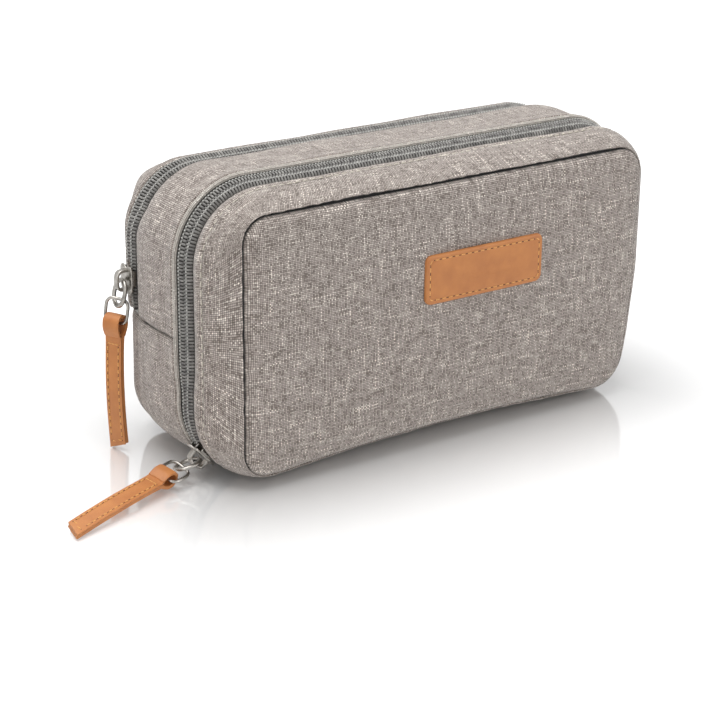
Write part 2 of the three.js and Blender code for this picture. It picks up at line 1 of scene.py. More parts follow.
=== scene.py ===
import math

import bmesh
import bpy
from mathutils import Matrix, Quaternion, Vector, noise


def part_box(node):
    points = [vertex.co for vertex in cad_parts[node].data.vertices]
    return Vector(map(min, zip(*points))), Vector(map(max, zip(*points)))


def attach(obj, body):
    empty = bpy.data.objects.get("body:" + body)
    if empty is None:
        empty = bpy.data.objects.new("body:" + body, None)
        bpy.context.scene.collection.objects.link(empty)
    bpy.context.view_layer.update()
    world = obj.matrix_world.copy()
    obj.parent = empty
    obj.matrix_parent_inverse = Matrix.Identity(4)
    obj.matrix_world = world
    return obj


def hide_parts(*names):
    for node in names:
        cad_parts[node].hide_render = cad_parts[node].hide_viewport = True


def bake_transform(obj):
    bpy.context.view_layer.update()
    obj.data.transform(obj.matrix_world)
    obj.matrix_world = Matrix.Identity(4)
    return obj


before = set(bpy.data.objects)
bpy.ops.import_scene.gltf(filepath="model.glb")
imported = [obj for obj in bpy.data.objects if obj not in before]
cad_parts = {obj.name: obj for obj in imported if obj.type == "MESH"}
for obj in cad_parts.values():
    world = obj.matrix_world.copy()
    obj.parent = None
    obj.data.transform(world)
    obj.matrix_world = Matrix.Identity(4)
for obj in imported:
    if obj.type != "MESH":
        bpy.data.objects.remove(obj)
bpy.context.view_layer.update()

# The camera stands at the front left of the case and a little above it, about three quarters
# of a metre off, with a long lens. Its roll is the small tilt of the photograph.
CAMERA_PLACE = Vector((-0.4267, -0.5831, 0.2952))
CAMERA_AIM = Vector((-0.0190, -0.0080, 0.0255))
CAMERA_ROLL = math.radians(0.61)
CAMERA_LENS = 101.6
camera_data = bpy.data.cameras.new("camera")
camera_data.lens = CAMERA_LENS
camera_data.sensor_width = 36
camera = bpy.data.objects.new("camera", camera_data)
bpy.context.scene.collection.objects.link(camera)
camera.location = CAMERA_PLACE
camera.rotation_mode = "QUATERNION"
aim = (CAMERA_AIM - CAMERA_PLACE).to_track_quat("-Z", "Y")
camera.rotation_quaternion = aim @ Quaternion((0, 0, 1), CAMERA_ROLL)
bpy.context.scene.camera = camera
bpy.context.scene.view_settings.view_transform = "Standard"

# Studio light: a wide soft box overhead and two weaker ones at the front left and the front
# right, with a white world that the nickel and the table reflect.
LAMPS = [
    ("overhead", (-0.15, 0.10, 0.95), (0.9, 0.9), 10.0),
    ("front_left", (-0.95, -0.55, 0.55), (0.8, 0.8), 2.5),
    ("front_right", (0.75, -0.95, 0.50), (0.7, 0.7), 4.2),
]
for lamp_name, place, (width, depth), watts in LAMPS:
    lamp_data = bpy.data.lights.new(lamp_name, "AREA")
    lamp_data.shape = "RECTANGLE"
    lamp_data.size = width
    lamp_data.size_y = depth
    lamp_data.energy = watts
    lamp = bpy.data.objects.new(lamp_name, lamp_data)
    lamp.location = place
    lamp.rotation_mode = "QUATERNION"
    lamp.rotation_quaternion = (Vector((0, 0, 0.05)) - lamp.location).to_track_quat("-Z", "Y")
    bpy.context.scene.collection.objects.link(lamp)

WORLD_FILL = 0.42


def set_inputs(node, values):
    """Sets a node's inputs by their names."""
    for socket, value in values.items():
        node.inputs[socket].default_value = value
    return node


def ranged(nodes, links, factor, low, high, target, span=1.0):
    """Feeds a socket with a value that goes from low to high as the factor does from 0 to span."""
    level = set_inputs(nodes.new("ShaderNodeMapRange"), {"From Max": span, "To Min": low, "To Max": high})
    links.new(factor, level.inputs["Value"])
    links.new(level.outputs["Result"], target)


world = bpy.data.worlds.new("studio")
bpy.context.scene.world = world
world.use_nodes = True
world_nodes = world.node_tree.nodes
world_links = world.node_tree.links
background = world_nodes["Background"]
background.inputs["Color"].default_value = (1, 1, 1, 1)
path = world_nodes.new("ShaderNodeLightPath")
seen = world_nodes.new("ShaderNodeMath")
seen.operation = "MAXIMUM"
world_links.new(path.outputs["Is Camera Ray"], seen.inputs[0])
world_links.new(path.outputs["Is Glossy Ray"], seen.inputs[1])
ranged(world_nodes, world_links, seen.outputs[0], WORLD_FILL, 1, background.inputs["Strength"])

# The table is a white top, lit until it is as white as the world behind it. It takes the soft
# shadow under the case, and its gloss, strongest near the case, gives a fading reflection.
TABLE_HALF = 3.0
TABLE_WHITE = (0.90, 0.90, 0.90, 1)
TABLE_GLOW = 0.15
TABLE_LIGHT = (2.8, 0.1)
TABLE_ROUGHNESS, TABLE_IOR = 0.09, 5.0
GLOSS_HALF, GLOSS_REACH = (0.090, 0.038, 0.0), 0.09
GLOSS_NEAR, GLOSS_FAR = 0.5, 0.02


def new_finish(name):
    """A new material, with its nodes, its links and its shader."""
    material = bpy.data.materials.new(name)
    material.use_nodes = True
    tree = material.node_tree
    return material, tree.nodes, tree.links, tree.nodes["Principled BSDF"]


bm = bmesh.new()
bmesh.ops.create_grid(bm, x_segments=1, y_segments=1, size=TABLE_HALF)
table_mesh = bpy.data.meshes.new("table_top")
bm.to_mesh(table_mesh)
bm.free()
table_top = bpy.data.objects.new("table_top", table_mesh)
bpy.context.scene.collection.objects.link(table_top)
table_paint, nodes, links, gloss = new_finish("table_paint")
set_inputs(gloss, {"Base Color": TABLE_WHITE, "Roughness": TABLE_ROUGHNESS, "IOR": TABLE_IOR})
glow = nodes.new("ShaderNodeEmission")
spot = nodes.new("ShaderNodeTexCoord")
either_side, beyond, past, distance = [nodes.new("ShaderNodeVectorMath") for _ in range(4)]
for node, operation in zip((either_side, beyond, past, distance),
                           ("ABSOLUTE", "SUBTRACT", "MAXIMUM", "LENGTH")):
    node.operation = operation
links.new(spot.outputs["Object"], either_side.inputs[0])
links.new(either_side.outputs[0], beyond.inputs[0])
beyond.inputs[1].default_value = GLOSS_HALF
links.new(beyond.outputs[0], past.inputs[0])
past.inputs[1].default_value = (0, 0, 0)
links.new(past.outputs[0], distance.inputs[0])
for socket, near, far in [(gloss.inputs["Specular IOR Level"], GLOSS_NEAR, GLOSS_FAR),
                          (glow.inputs["Strength"], TABLE_LIGHT[1], TABLE_LIGHT[0])]:
    ranged(nodes, links, distance.outputs["Value"], near, far, socket, GLOSS_REACH)
ray = nodes.new("ShaderNodeLightPath")
share = nodes.new("ShaderNodeMath")
share.operation = "MULTIPLY"
share.inputs[1].default_value = TABLE_GLOW
links.new(ray.outputs["Is Camera Ray"], share.inputs[0])
mixed = nodes.new("ShaderNodeMixShader")
links.new(share.outputs[0], mixed.inputs[0])
links.new(gloss.outputs[0], mixed.inputs[1])
links.new(glow.outputs[0], mixed.inputs[2])
links.new(mixed.outputs[0], nodes["Material Output"].inputs["Surface"])
table_mesh.materials.append(table_paint)

# Side of the front cover: one strip of heather cloth, seamed into a hoop. Its edge is folded
# under beside the zip, a topstitched line draws it in, and it rolls over foam to the panel.
# All lengths below are millimetres, and become metres when a piece is put in the scene.
HALF_LENGTH = 98.0
CASE_HEIGHT = 104.5
TRACK_LIFT = 0.8
TRACK_RADIUS = 26.0
SEAM_INSET_SIDE = 9.6
SEAM_INSET_TOP = 5.1
SEAM_LIFT = 4.4
SEAM_RADIUS = 10.3
FRONT_SEAM = -38.0
FRONT_ZIP = -16.0
REAR_ZIP = 21.0
BACK_SEAM = 38.0
FOLD_HEIGHT = 51.0
HALF_SLOT = 3.6
CLOTH = 0.9
MIDDLE_BULGE = 2.2
SIDE_BULGE = 1.4
FRONT_BULGE_REACH = 14.8
REAR_BULGE_REACH = 9.8
TURN_STEP = 1.9
# Each row is a share of the way from zip to seam, a share of the inset and a height above it.
FRONT_TAPER = [(0.2, 0.03, 1.2), (0.4, 0.16, 1.2), (0.6, 0.38, 1.0), (0.78, 0.64, 0.7), (0.9, 0.85, 0.45),
               (0.955, 0.96, 0.3), (0.97, 1.0, 0.1), (0.94, 1.01, -0.2), (0.88, 1.01, -0.3)]
REAR_TAPER = [(0.12, 0.36, 0.0), (0.3, 0.51, -0.1), (0.5, 0.66, -0.3), (0.7, 0.82, -0.8), (0.86, 0.94, -1.2),
              (0.94, 1.0, -1.5), (0.96, 1.01, -1.75), (0.93, 1.01, -2.1), (0.86, 1.01, -2.2)]
REAR_EDGE_SHARE = 0.18
REAR_START_SHARE = 0.27
FRONT_LEAN, FRONT_CHAIN_RISE = 0.42, 0.1
REAR_LEAN, REAR_CHAIN_RISE = 0.32, -1.2
LEAN_REACH = 4.5
MM = 0.001
WELD = 0.001
SLIDER_CLEAR, SLIDER_FADE = 7.0, 8.0
SLIDER_PARTING, PARTING_REACH, PARTING_FADE, EDGE_BELOW = 1.3, 9.0, 3.5, 1.2
FRONT_SLIDER_TURN, FRONT_SLIDER_TRAVEL = 222, 40
REAR_SLIDER_HEIGHT, REAR_SLIDER_TRAVEL = FOLD_HEIGHT + 13.0, 12
TURN_CENTRE = Vector((TRACK_RADIUS - HALF_LENGTH, TRACK_LIFT + TRACK_RADIUS))
FRONT_SLIDER_RUN = [TURN_CENTRE + TRACK_RADIUS * Vector((math.cos(math.radians(FRONT_SLIDER_TURN - turned)),
                                                         math.sin(math.radians(FRONT_SLIDER_TURN - turned))))
                    for turned in range(0, FRONT_SLIDER_TRAVEL + 1, 10)]
REAR_SLIDER_RUN = [Vector((-HALF_LENGTH, REAR_SLIDER_HEIGHT + risen))
                   for risen in range(0, REAR_SLIDER_TRAVEL + 1, 4)]
LEAN_FOOT = 9.0
ARCH_RISE = 3.2
ARCH_HALF = 74.0
ARCH_HEIGHT = 30.0
DRAWN_IN, DRAWN_FROM_X, DRAWN_TO_X, DRAWN_HEIGHT = 7.0, 30.0, 98.0, 50.0
SETTLED_DEPTH = 14.0
TABLE_GAP = 0.06
RIGHT_TOP, LEFT_TOP, LEFT_BASE, RIGHT_BASE = (1, 1), (-1, 1), (-1, -1), (1, -1)
STITCH_PITCH = 3.2


def corner(where, degrees):
    """A mark on a round corner of the outline, by its angle from the right."""
    return ("corner", where, degrees)


def at_height(side, height):
    """A mark on a straight side of the outline, -1 for the left and 1 for the right."""
    return ("height", side, height)


def outline_point(mark, share, out):
    """A mark's X and Z: share goes from the zips' track to the panels' seam, out from the case."""
    half = HALF_LENGTH - SEAM_INSET_SIDE * share + out
    kind, where, value = mark
    if kind == "height":
        return Vector((where * half, value))
    top = CASE_HEIGHT - SEAM_INSET_TOP * share + out
    base = TRACK_LIFT + (SEAM_LIFT - TRACK_LIFT) * share - out
    radius = TRACK_RADIUS + (SEAM_RADIUS - TRACK_RADIUS) * share + out
    sideways, upwards = where
    turn = math.radians(value)
    middle = Vector((sideways * (half - radius), top - radius if upwards > 0 else base + radius))
    return middle + radius * Vector((math.cos(turn), math.sin(turn)))


def walk(marks, step=TURN_STEP):
    """Stops along the outline, a step apart: two marks and the share between them."""
    stops = []
    for a, b in zip(marks, marks[1:]):
        run = (outline_point(a, 0, 0) - outline_point(b, 0, 0)).length
        if a[:2] == b[:2]:
            run = TRACK_RADIUS * abs(math.radians(b[2] - a[2]))
        count = max(2, round(run / step))
        stops += [(a, b, k / count) for k in range(count)]
    return stops + [(marks[-1], marks[-1], 0)]


def stop_point(stop, share, out):
    """X and Z at a stop, like outline_point at a mark."""
    a, b, along = stop
    if a[:2] == b[:2]:
        return outline_point((a[0], a[1], a[2] + (b[2] - a[2]) * along), share, out)
    return outline_point(a, share, out).lerp(outline_point(b, share, out), along)


def lengths_along(points):
    total = [0.0]
    for a, b in zip(points, points[1:]):
        total.append(total[-1] + (b - a).length)
    return total


def smooth_run(rows, steps):
    """Rows of numbers joined by a smooth curve through all of them."""
    run = []
    for k in range(len(rows) - 1):
        before, a, b, after = rows[max(0, k - 1)], rows[k], rows[k + 1], rows[min(len(rows) - 1, k + 2)]
        for i in range(steps):
            t = i / steps
            run.append(tuple(
                0.5 * (2 * q + (r - p) * t + (2 * p - 5 * q + 4 * r - s) * t * t
                       + (3 * q - 3 * r + s - p) * t ** 3)
                for p, q, r, s in zip(before, a, b, after)))
    return run + [tuple(rows[-1])]


def bulge(y):
    """How far the wall stands out beyond the zip tracks at this depth."""
    if FRONT_ZIP <= y <= REAR_ZIP:
        share = (y - FRONT_ZIP) / (REAR_ZIP - FRONT_ZIP)
        return MIDDLE_BULGE * 4 * share * (1 - share)
    zip_y, reach = (FRONT_ZIP, FRONT_BULGE_REACH) if y < FRONT_ZIP else (REAR_ZIP, REAR_BULGE_REACH)
    return SIDE_BULGE * math.sin(math.pi / 2 * min(1, abs(y - zip_y) / reach))


def rolled_rim(from_y, seam_y):
    """The cloth's section from beside a zip, over the rim and down into the panel's seam."""
    taper = [(from_y + (seam_y - from_y) * along, share, out)
             for along, share, out in (FRONT_TAPER if seam_y < 0 else REAR_TAPER)]
    start = (from_y, 0.0, bulge(from_y)) if seam_y < 0 else (from_y, REAR_START_SHARE, 0.0)
    return smooth_run([start] + taper, 5)


def clamped(value):
    return min(1.0, max(0.0, value))


def off_slider(x, z, run):
    """From 0 beside the places that a slider reaches to 1 well away from them."""
    nearest = min((Vector((x, z)) - place).length for place in run)
    return clamped((nearest - SLIDER_CLEAR) / SLIDER_FADE)


def parted(y, x, z):
    """How far a cloth edge beside a zip stands aside for the slider."""
    aside = 0.0
    for zip_y, run in ((FRONT_ZIP, FRONT_SLIDER_RUN), (REAR_ZIP, REAR_SLIDER_RUN)):
        beyond = abs(y - zip_y) - HALF_SLOT
        if -EDGE_BELOW < beyond < PARTING_REACH:
            push = SLIDER_PARTING * (1 - off_slider(x, z, run)) * math.exp(-(beyond / PARTING_FADE) ** 2)
            aside += math.copysign(push, y - zip_y)
    return aside


def chain_lean(y, x, z):
    """How far the closed zip, which lies leaning to the front, lifts what is sewn to it."""
    total = 0.0
    for zip_y, lean, rise, slider, foot in (
            (FRONT_ZIP, FRONT_LEAN, FRONT_CHAIN_RISE, FRONT_SLIDER_RUN, 0.0),
            (REAR_ZIP, REAR_LEAN, REAR_CHAIN_RISE, REAR_SLIDER_RUN, FOLD_HEIGHT)):
        beside = max(-HALF_SLOT, min(HALF_SLOT, y - zip_y))
        clear = off_slider(x, z, slider) * clamped((z - foot) / LEAN_FOOT)
        fade = math.exp(-((y - zip_y - beside) / LEAN_REACH) ** 2)
        total += clear * fade * (rise + lean * beside)
    return total


def settled(x, y, z):
    """A point of the soft cover: its underside arches and its lower right corner draws in."""
    sideways = max(0.0, 1 - (x / ARCH_HALF) ** 2)
    forwards = clamped((FRONT_ZIP - HALF_SLOT - y) / SETTLED_DEPTH)
    low = max(0.0, 1 - z / ARCH_HEIGHT)
    rightwards = max(0.0, x - DRAWN_FROM_X) / (DRAWN_TO_X - DRAWN_FROM_X)
    drawn = DRAWN_IN * forwards * rightwards * max(0.0, 1 - z / DRAWN_HEIGHT) ** 1.2
    return Vector((x - drawn, y, z + ARCH_RISE * sideways * forwards * low))


def folded_edge(y, inwards, depth=1.5):
    """The cloth's edge beside a zip, turned under: from below, round the nose to the face."""
    turn = [(2.6, depth), (1.0, depth), (0.25, depth * 0.85), (0.0, depth * 0.6), (0.25, 0.5),
            (0.8, 0.36), (1.5, 0.3)]
    return [(y + inwards * back, 0.0, bulge(y + inwards * back) * min(1.0, back / 3) - low)
            for back, low in turn]


def laid_cloth(columns, rows, place, flat, welded=False):
    """A flat woven piece, its points moved to their places, with the flat piece as its map."""
    bm = bmesh.new()
    cloth_map = bm.loops.layers.uv.new("cloth")
    bmesh.ops.create_grid(bm, x_segments=columns, y_segments=rows, size=0.5)
    spots = {v: (round((v.co.x + 0.5) * columns), round((v.co.y + 0.5) * rows)) for v in bm.verts}
    for face in bm.faces:
        for loop in face.loops:
            loop[cloth_map].uv = Vector(flat(*spots[loop.vert])) * MM
    for v, (i, j) in spots.items():
        v.co = place(i, j)
    if welded:
        bmesh.ops.remove_doubles(bm, verts=bm.verts[:], dist=WELD)
    return bm


def put(name, bm, material, body=None, outside=None, wall=0.0, node=(), slot=None):
    """A finished mesh in the scene, in metres, on its body and in place of its solid."""
    bmesh.ops.scale(bm, vec=(MM, MM, MM), verts=bm.verts[:])
    if outside is not None:
        bm.normal_update()
        facing = sum(f.calc_area() * f.normal.dot(outside(f.calc_center_median() * 1000)) for f in bm.faces)
        if facing < 0:
            bmesh.ops.reverse_faces(bm, faces=bm.faces[:])
    mesh = bpy.data.meshes.new(name)
    bm.to_mesh(mesh)
    bm.free()
    for polygon in mesh.polygons:
        polygon.use_smooth = True
    piece = bpy.data.objects.new(name, mesh)
    bpy.context.scene.collection.objects.link(piece)
    mesh.materials.append(material)
    if wall:
        cloth_wall = piece.modifiers.new("cloth_wall", "SOLIDIFY")
        cloth_wall.thickness = wall * MM
        cloth_wall.offset = -1
    if body:
        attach(piece, body)
    if node:
        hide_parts(*node)
    return piece


def away_from_axis(centre):
    return Vector((centre.x, 0, centre.z - CASE_HEIGHT / 2))


def laid_round(name, section, stops, material, body, node, slot, lift=None, wall=CLOTH, welded=False,
               parts=True):
    """A strip of cloth laid round the case, pressed flat where it stands on the table."""
    track = [Vector(stop_point(stop, 0, 0)) for stop in stops]
    along = lengths_along(track)
    across = lengths_along([Vector((y, 0.35 * out - 9 * share, 0)) for y, share, out in section])

    def place(i, j):
        y, share, out = section[j]
        raised = chain_lean(y, *track[i]) + (lift(along[i], y) if lift else 0.0)
        x, z = stop_point(stops[i], share, out + raised)
        z = max(z, TABLE_GAP - min(0.0, out))
        return settled(x, y + (parted(y, *track[i]) if parts else 0.0), z)

    bm = laid_cloth(len(stops) - 1, len(section) - 1, place, lambda i, j: (along[i], across[j]), welded)
    return put(name, bm, material, body, away_from_axis, wall, node, slot)


def pattern(nodes, links, kind, where, values):
    """A texture node, read at a place."""
    node = set_inputs(nodes.new(f"ShaderNodeTex{kind}"), values)
    links.new(where, node.inputs["Vector"])
    return node


def bumped(nodes, links, height, distance, shader, strength=1.0):
    """Relief on a shader, from a height."""
    bump = set_inputs(nodes.new("ShaderNodeBump"), {"Strength": strength, "Distance": distance})
    links.new(height, bump.inputs["Height"])
    links.new(bump.outputs[0], shader.inputs["Normal"])


def ramped(nodes, links, factor, levels, colours, shader):
    """A shader's colour, from one tone at one level of the factor to another at the next."""
    tones = nodes.new("ShaderNodeValToRGB")
    for k in (0, 1):
        tones.color_ramp.elements[k].position = levels[k]
        tones.color_ramp.elements[k].color = colours[k]
    links.new(factor, tones.inputs["Fac"])
    links.new(tones.outputs["Color"], shader.inputs["Base Color"])


def weave_group():
    """Plain weave: threads over and under, each dyed along its length in three tones, with painted shade in
    the gaps between threads and painted light on their crowns.
    """
    group = bpy.data.node_groups.new("plain_weave", "ShaderNodeTree")
    for name, kind in [("Vector", "Vector"), ("Threads", "Float"), ("Streak", "Float"),
                       ("Dark", "Color"), ("Middle", "Color"), ("Pale", "Color"),
                       ("Dark Below", "Float"), ("Pale Above", "Float")]:
        group.interface.new_socket(name, in_out="INPUT", socket_type=f"NodeSocket{kind}")
    group.interface.new_socket("Color", in_out="OUTPUT", socket_type="NodeSocketColor")
    group.interface.new_socket("Height", in_out="OUTPUT", socket_type="NodeSocketFloat")
    nodes, links = group.nodes, group.links
    given = nodes.new("NodeGroupInput")
    result = nodes.new("NodeGroupOutput")

    def wired(kind, values, operation=None):
        """The output of a node whose inputs are set or linked in turn."""
        node = nodes.new(f"ShaderNode{kind}")
        if operation:
            node.operation = operation
        for k, value in enumerate(values):
            if isinstance(value, (int, float)):
                node.inputs[k].default_value = value
            else:
                links.new(value, node.inputs[k])
        return node.outputs[0]

    def math_node(operation, *values):
        return wired("Math", values, operation)

    def times(a, b):
        return math_node("MULTIPLY", a, b)

    def plus(a, b):
        return math_node("ADD", a, b)

    def noise_at(x, y, z):
        where = wired("CombineXYZ", (x, y, z))
        return pattern(nodes, links, "Noise", where, {"Scale": 1, "Detail": 1}).outputs["Fac"]

    def either(warp_value, weft_value):
        """One value where the warp shows and the other where the weft does."""
        return plus(times(warp_value, math_node("SUBTRACT", 1, over)), times(weft_value, over))

    counted = nodes.new("ShaderNodeVectorMath")
    counted.operation = "SCALE"
    links.new(given.outputs["Vector"], counted.inputs[0])
    links.new(given.outputs["Threads"], counted.inputs["Scale"])
    apart = nodes.new("ShaderNodeSeparateXYZ")
    links.new(counted.outputs[0], apart.inputs[0])
    wander = pattern(nodes, links, "Noise", counted.outputs[0], {"Scale": 0.12, "Detail": 1}).outputs["Fac"]
    u = plus(apart.outputs["X"], times(wander, 1.1))
    v = plus(apart.outputs["Y"], times(wander, -0.9))
    column, row = math_node("FLOOR", u), math_node("FLOOR", v)
    warp = noise_at(times(column, 3.7), times(v, given.outputs["Streak"]), 0)
    weft = noise_at(times(u, given.outputs["Streak"]), times(row, 3.7), 9)
    over = math_node("FLOORED_MODULO", plus(column, row), 2)
    fleck = nodes.new("ShaderNodeTexWhiteNoise")
    fleck.noise_dimensions = "2D"
    links.new(wired("CombineXYZ", (column, row, 0)), fleck.inputs["Vector"])
    tone = plus(either(warp, weft), times(math_node("SUBTRACT", fleck.outputs["Value"], 0.5), 0.2))

    def step(low_socket, span):
        node = nodes.new("ShaderNodeMapRange")
        node.interpolation_type = "SMOOTHSTEP"
        links.new(tone, node.inputs["Value"])
        links.new(low_socket, node.inputs["From Min"])
        links.new(plus(low_socket, span), node.inputs["From Max"])
        return node.outputs["Result"]

    def mixed(share, a, b):
        node = nodes.new("ShaderNodeMix")
        node.data_type = "RGBA"
        links.new(share, node.inputs["Factor"])
        links.new(a, node.inputs["A"])
        links.new(b, node.inputs["B"])
        return node.outputs["Result"]

    slub = either(noise_at(times(column, 9.1), times(v, 0.05), 4),
                  noise_at(times(u, 0.05), times(row, 9.1), 14))
    slubbed = set_inputs(nodes.new("ShaderNodeMapRange"),
                         {"From Min": 0.63, "From Max": 0.69, "To Max": 0.85})
    links.new(slub, slubbed.inputs["Value"])

    body = mixed(step(given.outputs["Dark Below"], 0.14), given.outputs["Dark"], given.outputs["Middle"])
    heathered = mixed(step(given.outputs["Pale Above"], 0.16), body, given.outputs["Pale"])
    full = mixed(slubbed.outputs["Result"], heathered, given.outputs["Pale"])
    hump_u, hump_v = [math_node("SINE", times(math_node("FRACT", place), math.pi)) for place in (u, v)]
    height = times(hump_u, hump_v)
    # Painted shade and light: the colour is scaled from 0.225 in the gaps between threads up to 1.475 on
    # their crowns.
    shade = plus(times(math_node("POWER", height, 0.7), 1.25), 0.225)
    shade = times(shade, plus(times(slubbed.outputs["Result"], 0.32), 1))
    shaded = nodes.new("ShaderNodeVectorMath")
    shaded.operation = "SCALE"
    links.new(full, shaded.inputs[0])
    links.new(shade, shaded.inputs["Scale"])
    links.new(shaded.outputs[0], result.inputs["Color"])
    links.new(height, result.inputs["Height"])
    return group


plain_weave = weave_group()


def rgb(red, green, blue):
    """A colour as a screen shows it, in the scene's own linear numbers."""
    def linear(value):
        share = value / 255
        return share / 12.92 if share <= 0.04045 else ((share + 0.055) / 1.055) ** 2.4
    return (linear(red), linear(green), linear(blue), 1)


def woven(name, threads_per_mm, streak, dark, middle, pale, shares, relief, sheen=0.25):
    """A woven finish read from the piece's own flat map."""
    material, nodes, links, shader = new_finish(name)
    flat_map = nodes.new("ShaderNodeUVMap")
    flat_map.uv_map = "cloth"
    weave = nodes.new("ShaderNodeGroup")
    weave.node_tree = plain_weave
    links.new(flat_map.outputs[0], weave.inputs["Vector"])
    set_inputs(weave, {"Threads": threads_per_mm / MM, "Streak": streak, "Dark": dark, "Middle": middle,
                       "Pale": pale, "Dark Below": shares[0], "Pale Above": shares[1]})
    links.new(weave.outputs["Color"], shader.inputs["Base Color"])
    bumped(nodes, links, weave.outputs["Height"], relief * MM, shader, 0.6)
    set_inputs(shader, {"Roughness": 0.9, "Specular IOR Level": 0.2, "Sheen Weight": sheen,
                        "Sheen Roughness": 0.5})
    return material


heather = woven("heather", 1.6, 0.13, rgb(126, 116, 109), rgb(166, 156, 149), rgb(204, 195, 186),
                (0.34, 0.57), 0.22)


def ripple(along, length, seed, row, height, away, reach):
    """Small puckers along a line, of a length and a height, that fade out away from it."""
    return noise.noise(Vector((along / length, seed, row))) * height * math.exp(-(away / reach) ** 2)


def puckered(line_y, pull, seed):
    """Lift of cloth that a topstitched line draws in, with small puckers beside it."""
    def lift(along, y):
        away = abs(y - line_y)
        groove = -pull * math.exp(-(away / 0.7) ** 2)
        pucker = ripple(along, 3.1, seed, 0, 0.45, away, 3.2)
        gather = ripple(along, 2.7, seed, 8, 0.4, FRONT_SEAM + 1 - y, 2.6)
        drape = noise.noise(Vector((along / 27, y / 16, seed))) * 0.5
        return groove + pucker + gather + drape
    return lift


FULL_TURN = [corner(RIGHT_TOP, 0), corner(RIGHT_TOP, 90), corner(LEFT_TOP, 90), corner(LEFT_TOP, 180),
             corner(LEFT_BASE, 180), corner(LEFT_BASE, 270), corner(RIGHT_BASE, 270),
             corner(RIGHT_BASE, 360), corner(RIGHT_TOP, 0)]
RIM_FROM_EDGE, STITCH_FROM_EDGE, STITCH_PULL = 1.6, 6.9, 0.75
cover_edge = FRONT_ZIP - HALF_SLOT
COVER_STITCH_Y = cover_edge - STITCH_FROM_EDGE
cover_section = folded_edge(cover_edge, -1) + rolled_rim(cover_edge - RIM_FROM_EDGE, FRONT_SEAM)
laid_round("cover_side", cover_section, walk(FULL_TURN), heather, "front_cover", ("cover_gusset",),
           "heather_fabric", puckered(COVER_STITCH_Y, STITCH_PULL, 3), welded=True)

# Front panel: heather cloth over foam, crowned, its edge turned down into the seam inside the
# rolled rim. The seam pulls small puckers into the cloth all the way round.
PANEL_OUT = -1.2
PANEL_EDGE_Y = -36.2
PANEL_FACE_Y = -39.2
PANEL_CROWN = 1.9
PANEL_OVERLAP = 1.15
PANEL_STEP = 2.0
PANEL_KEEP_ROUND = 1.2
TURN_IN = 2.8
LAP_FADE = 5.0
EDGE_BAND = 8.0
EDGE_ROWS = [0.0, 0.12, 0.35, 0.7, 1.2, 1.8, 2.5, 3.4, 4.6, 6.0, EDGE_BAND]
INNER_ROWS = 14
PANEL_CENTRE = Vector((0.0, (CASE_HEIGHT - SEAM_INSET_TOP + SEAM_LIFT) / 2))


def panel_mesh(away, edge_y, face_y, crown, seed, outwards=PANEL_OUT, overlap=0.0):
    """A crowned panel: rows follow its edge inwards, then close in on the middle."""
    stops = walk(FULL_TURN, PANEL_STEP)
    fit = min(1.0, (SEAM_RADIUS + outwards - PANEL_KEEP_ROUND) / EDGE_BAND)
    band_rows = [row * fit for row in EDGE_ROWS]
    edge_lengths = lengths_along([Vector(stop_point(stop, 1, outwards)) for stop in stops])
    rows = len(band_rows) - 1 + INNER_ROWS
    spots = {}

    def spot(i, j):
        if (i, j) not in spots:
            inwards = band_rows[min(j, len(band_rows) - 1)]
            beyond = stop_point(stops[i], 1, 1) - stop_point(stops[i], 1, 0)
            lapped = overlap * min(1.0, max(0.0, beyond.x) + max(0.0, -beyond.y))
            lapped *= max(0.0, 1 - inwards / LAP_FADE)
            point = stop_point(stops[i], 1, outwards + lapped - inwards)
            share = max(0, j - len(band_rows) + 1) / INNER_ROWS
            spots[i, j] = (point.lerp(PANEL_CENTRE, share), inwards, share)
        return spots[i, j]

    def place(i, j):
        (x, z), inwards, share = spot(i, j)
        turned = math.sqrt(max(0.0, 1 - (1 - min(1.0, inwards / TURN_IN)) ** 2))
        along_share = (x - PANEL_CENTRE.x) / HALF_LENGTH
        up_share = (z - PANEL_CENTRE.y) / (CASE_HEIGHT / 2)
        crowning = crown * min(1.0, inwards / EDGE_BAND) * (1 - along_share ** 8) * (1 - up_share ** 4)
        pucker = ripple(edge_lengths[i], 4.0, seed, 0, 0.42, inwards, 3.5) * turned if share < 1 else 0.0
        drape = noise.noise(Vector((x / 34, z / 26, seed))) * 0.55 * min(1.0, (inwards + 30 * share) / 10)
        reach = (abs(face_y) - abs(edge_y)) * turned + crowning + pucker + drape
        y = away * (abs(edge_y) + reach)
        return settled(x, y, z)

    return laid_cloth(len(stops) - 1, rows, place, lambda i, j: tuple(spot(i, j)[0]), welded=True)


def towards(y):
    """For put: the side that a flat piece faces, -1 for the front and 1 for the back."""
    return lambda centre: Vector((0, y, 0))


front_panel = put("front_panel_cloth",
                  panel_mesh(-1, PANEL_EDGE_Y, PANEL_FACE_Y, PANEL_CROWN, 7, overlap=PANEL_OVERLAP),
                  heather, "front_cover", towards(-1), CLOTH, ("front_panel",), "heather_fabric")

# Label: a bare leather patch with a rounded outline, sewn on near its edge. The thread pulls
# the leather down a little.
LABEL_X, LABEL_Z = 11.5, 65.0
LABEL_WIDTH, LABEL_HEIGHT = 53.0, 18.3
LABEL_BACK_Y = -41.2
LABEL_THICK = 1.3
LABEL_RADIUS = 2.5
LABEL_SEW_IN = 1.7
LABEL_STEP = 0.8
LABEL_BOW = 0.35
SEW_RADIUS = 1.4
SEW_STITCH = 2.1
SEW_GAP = 0.8
THREAD_THICK = 0.5


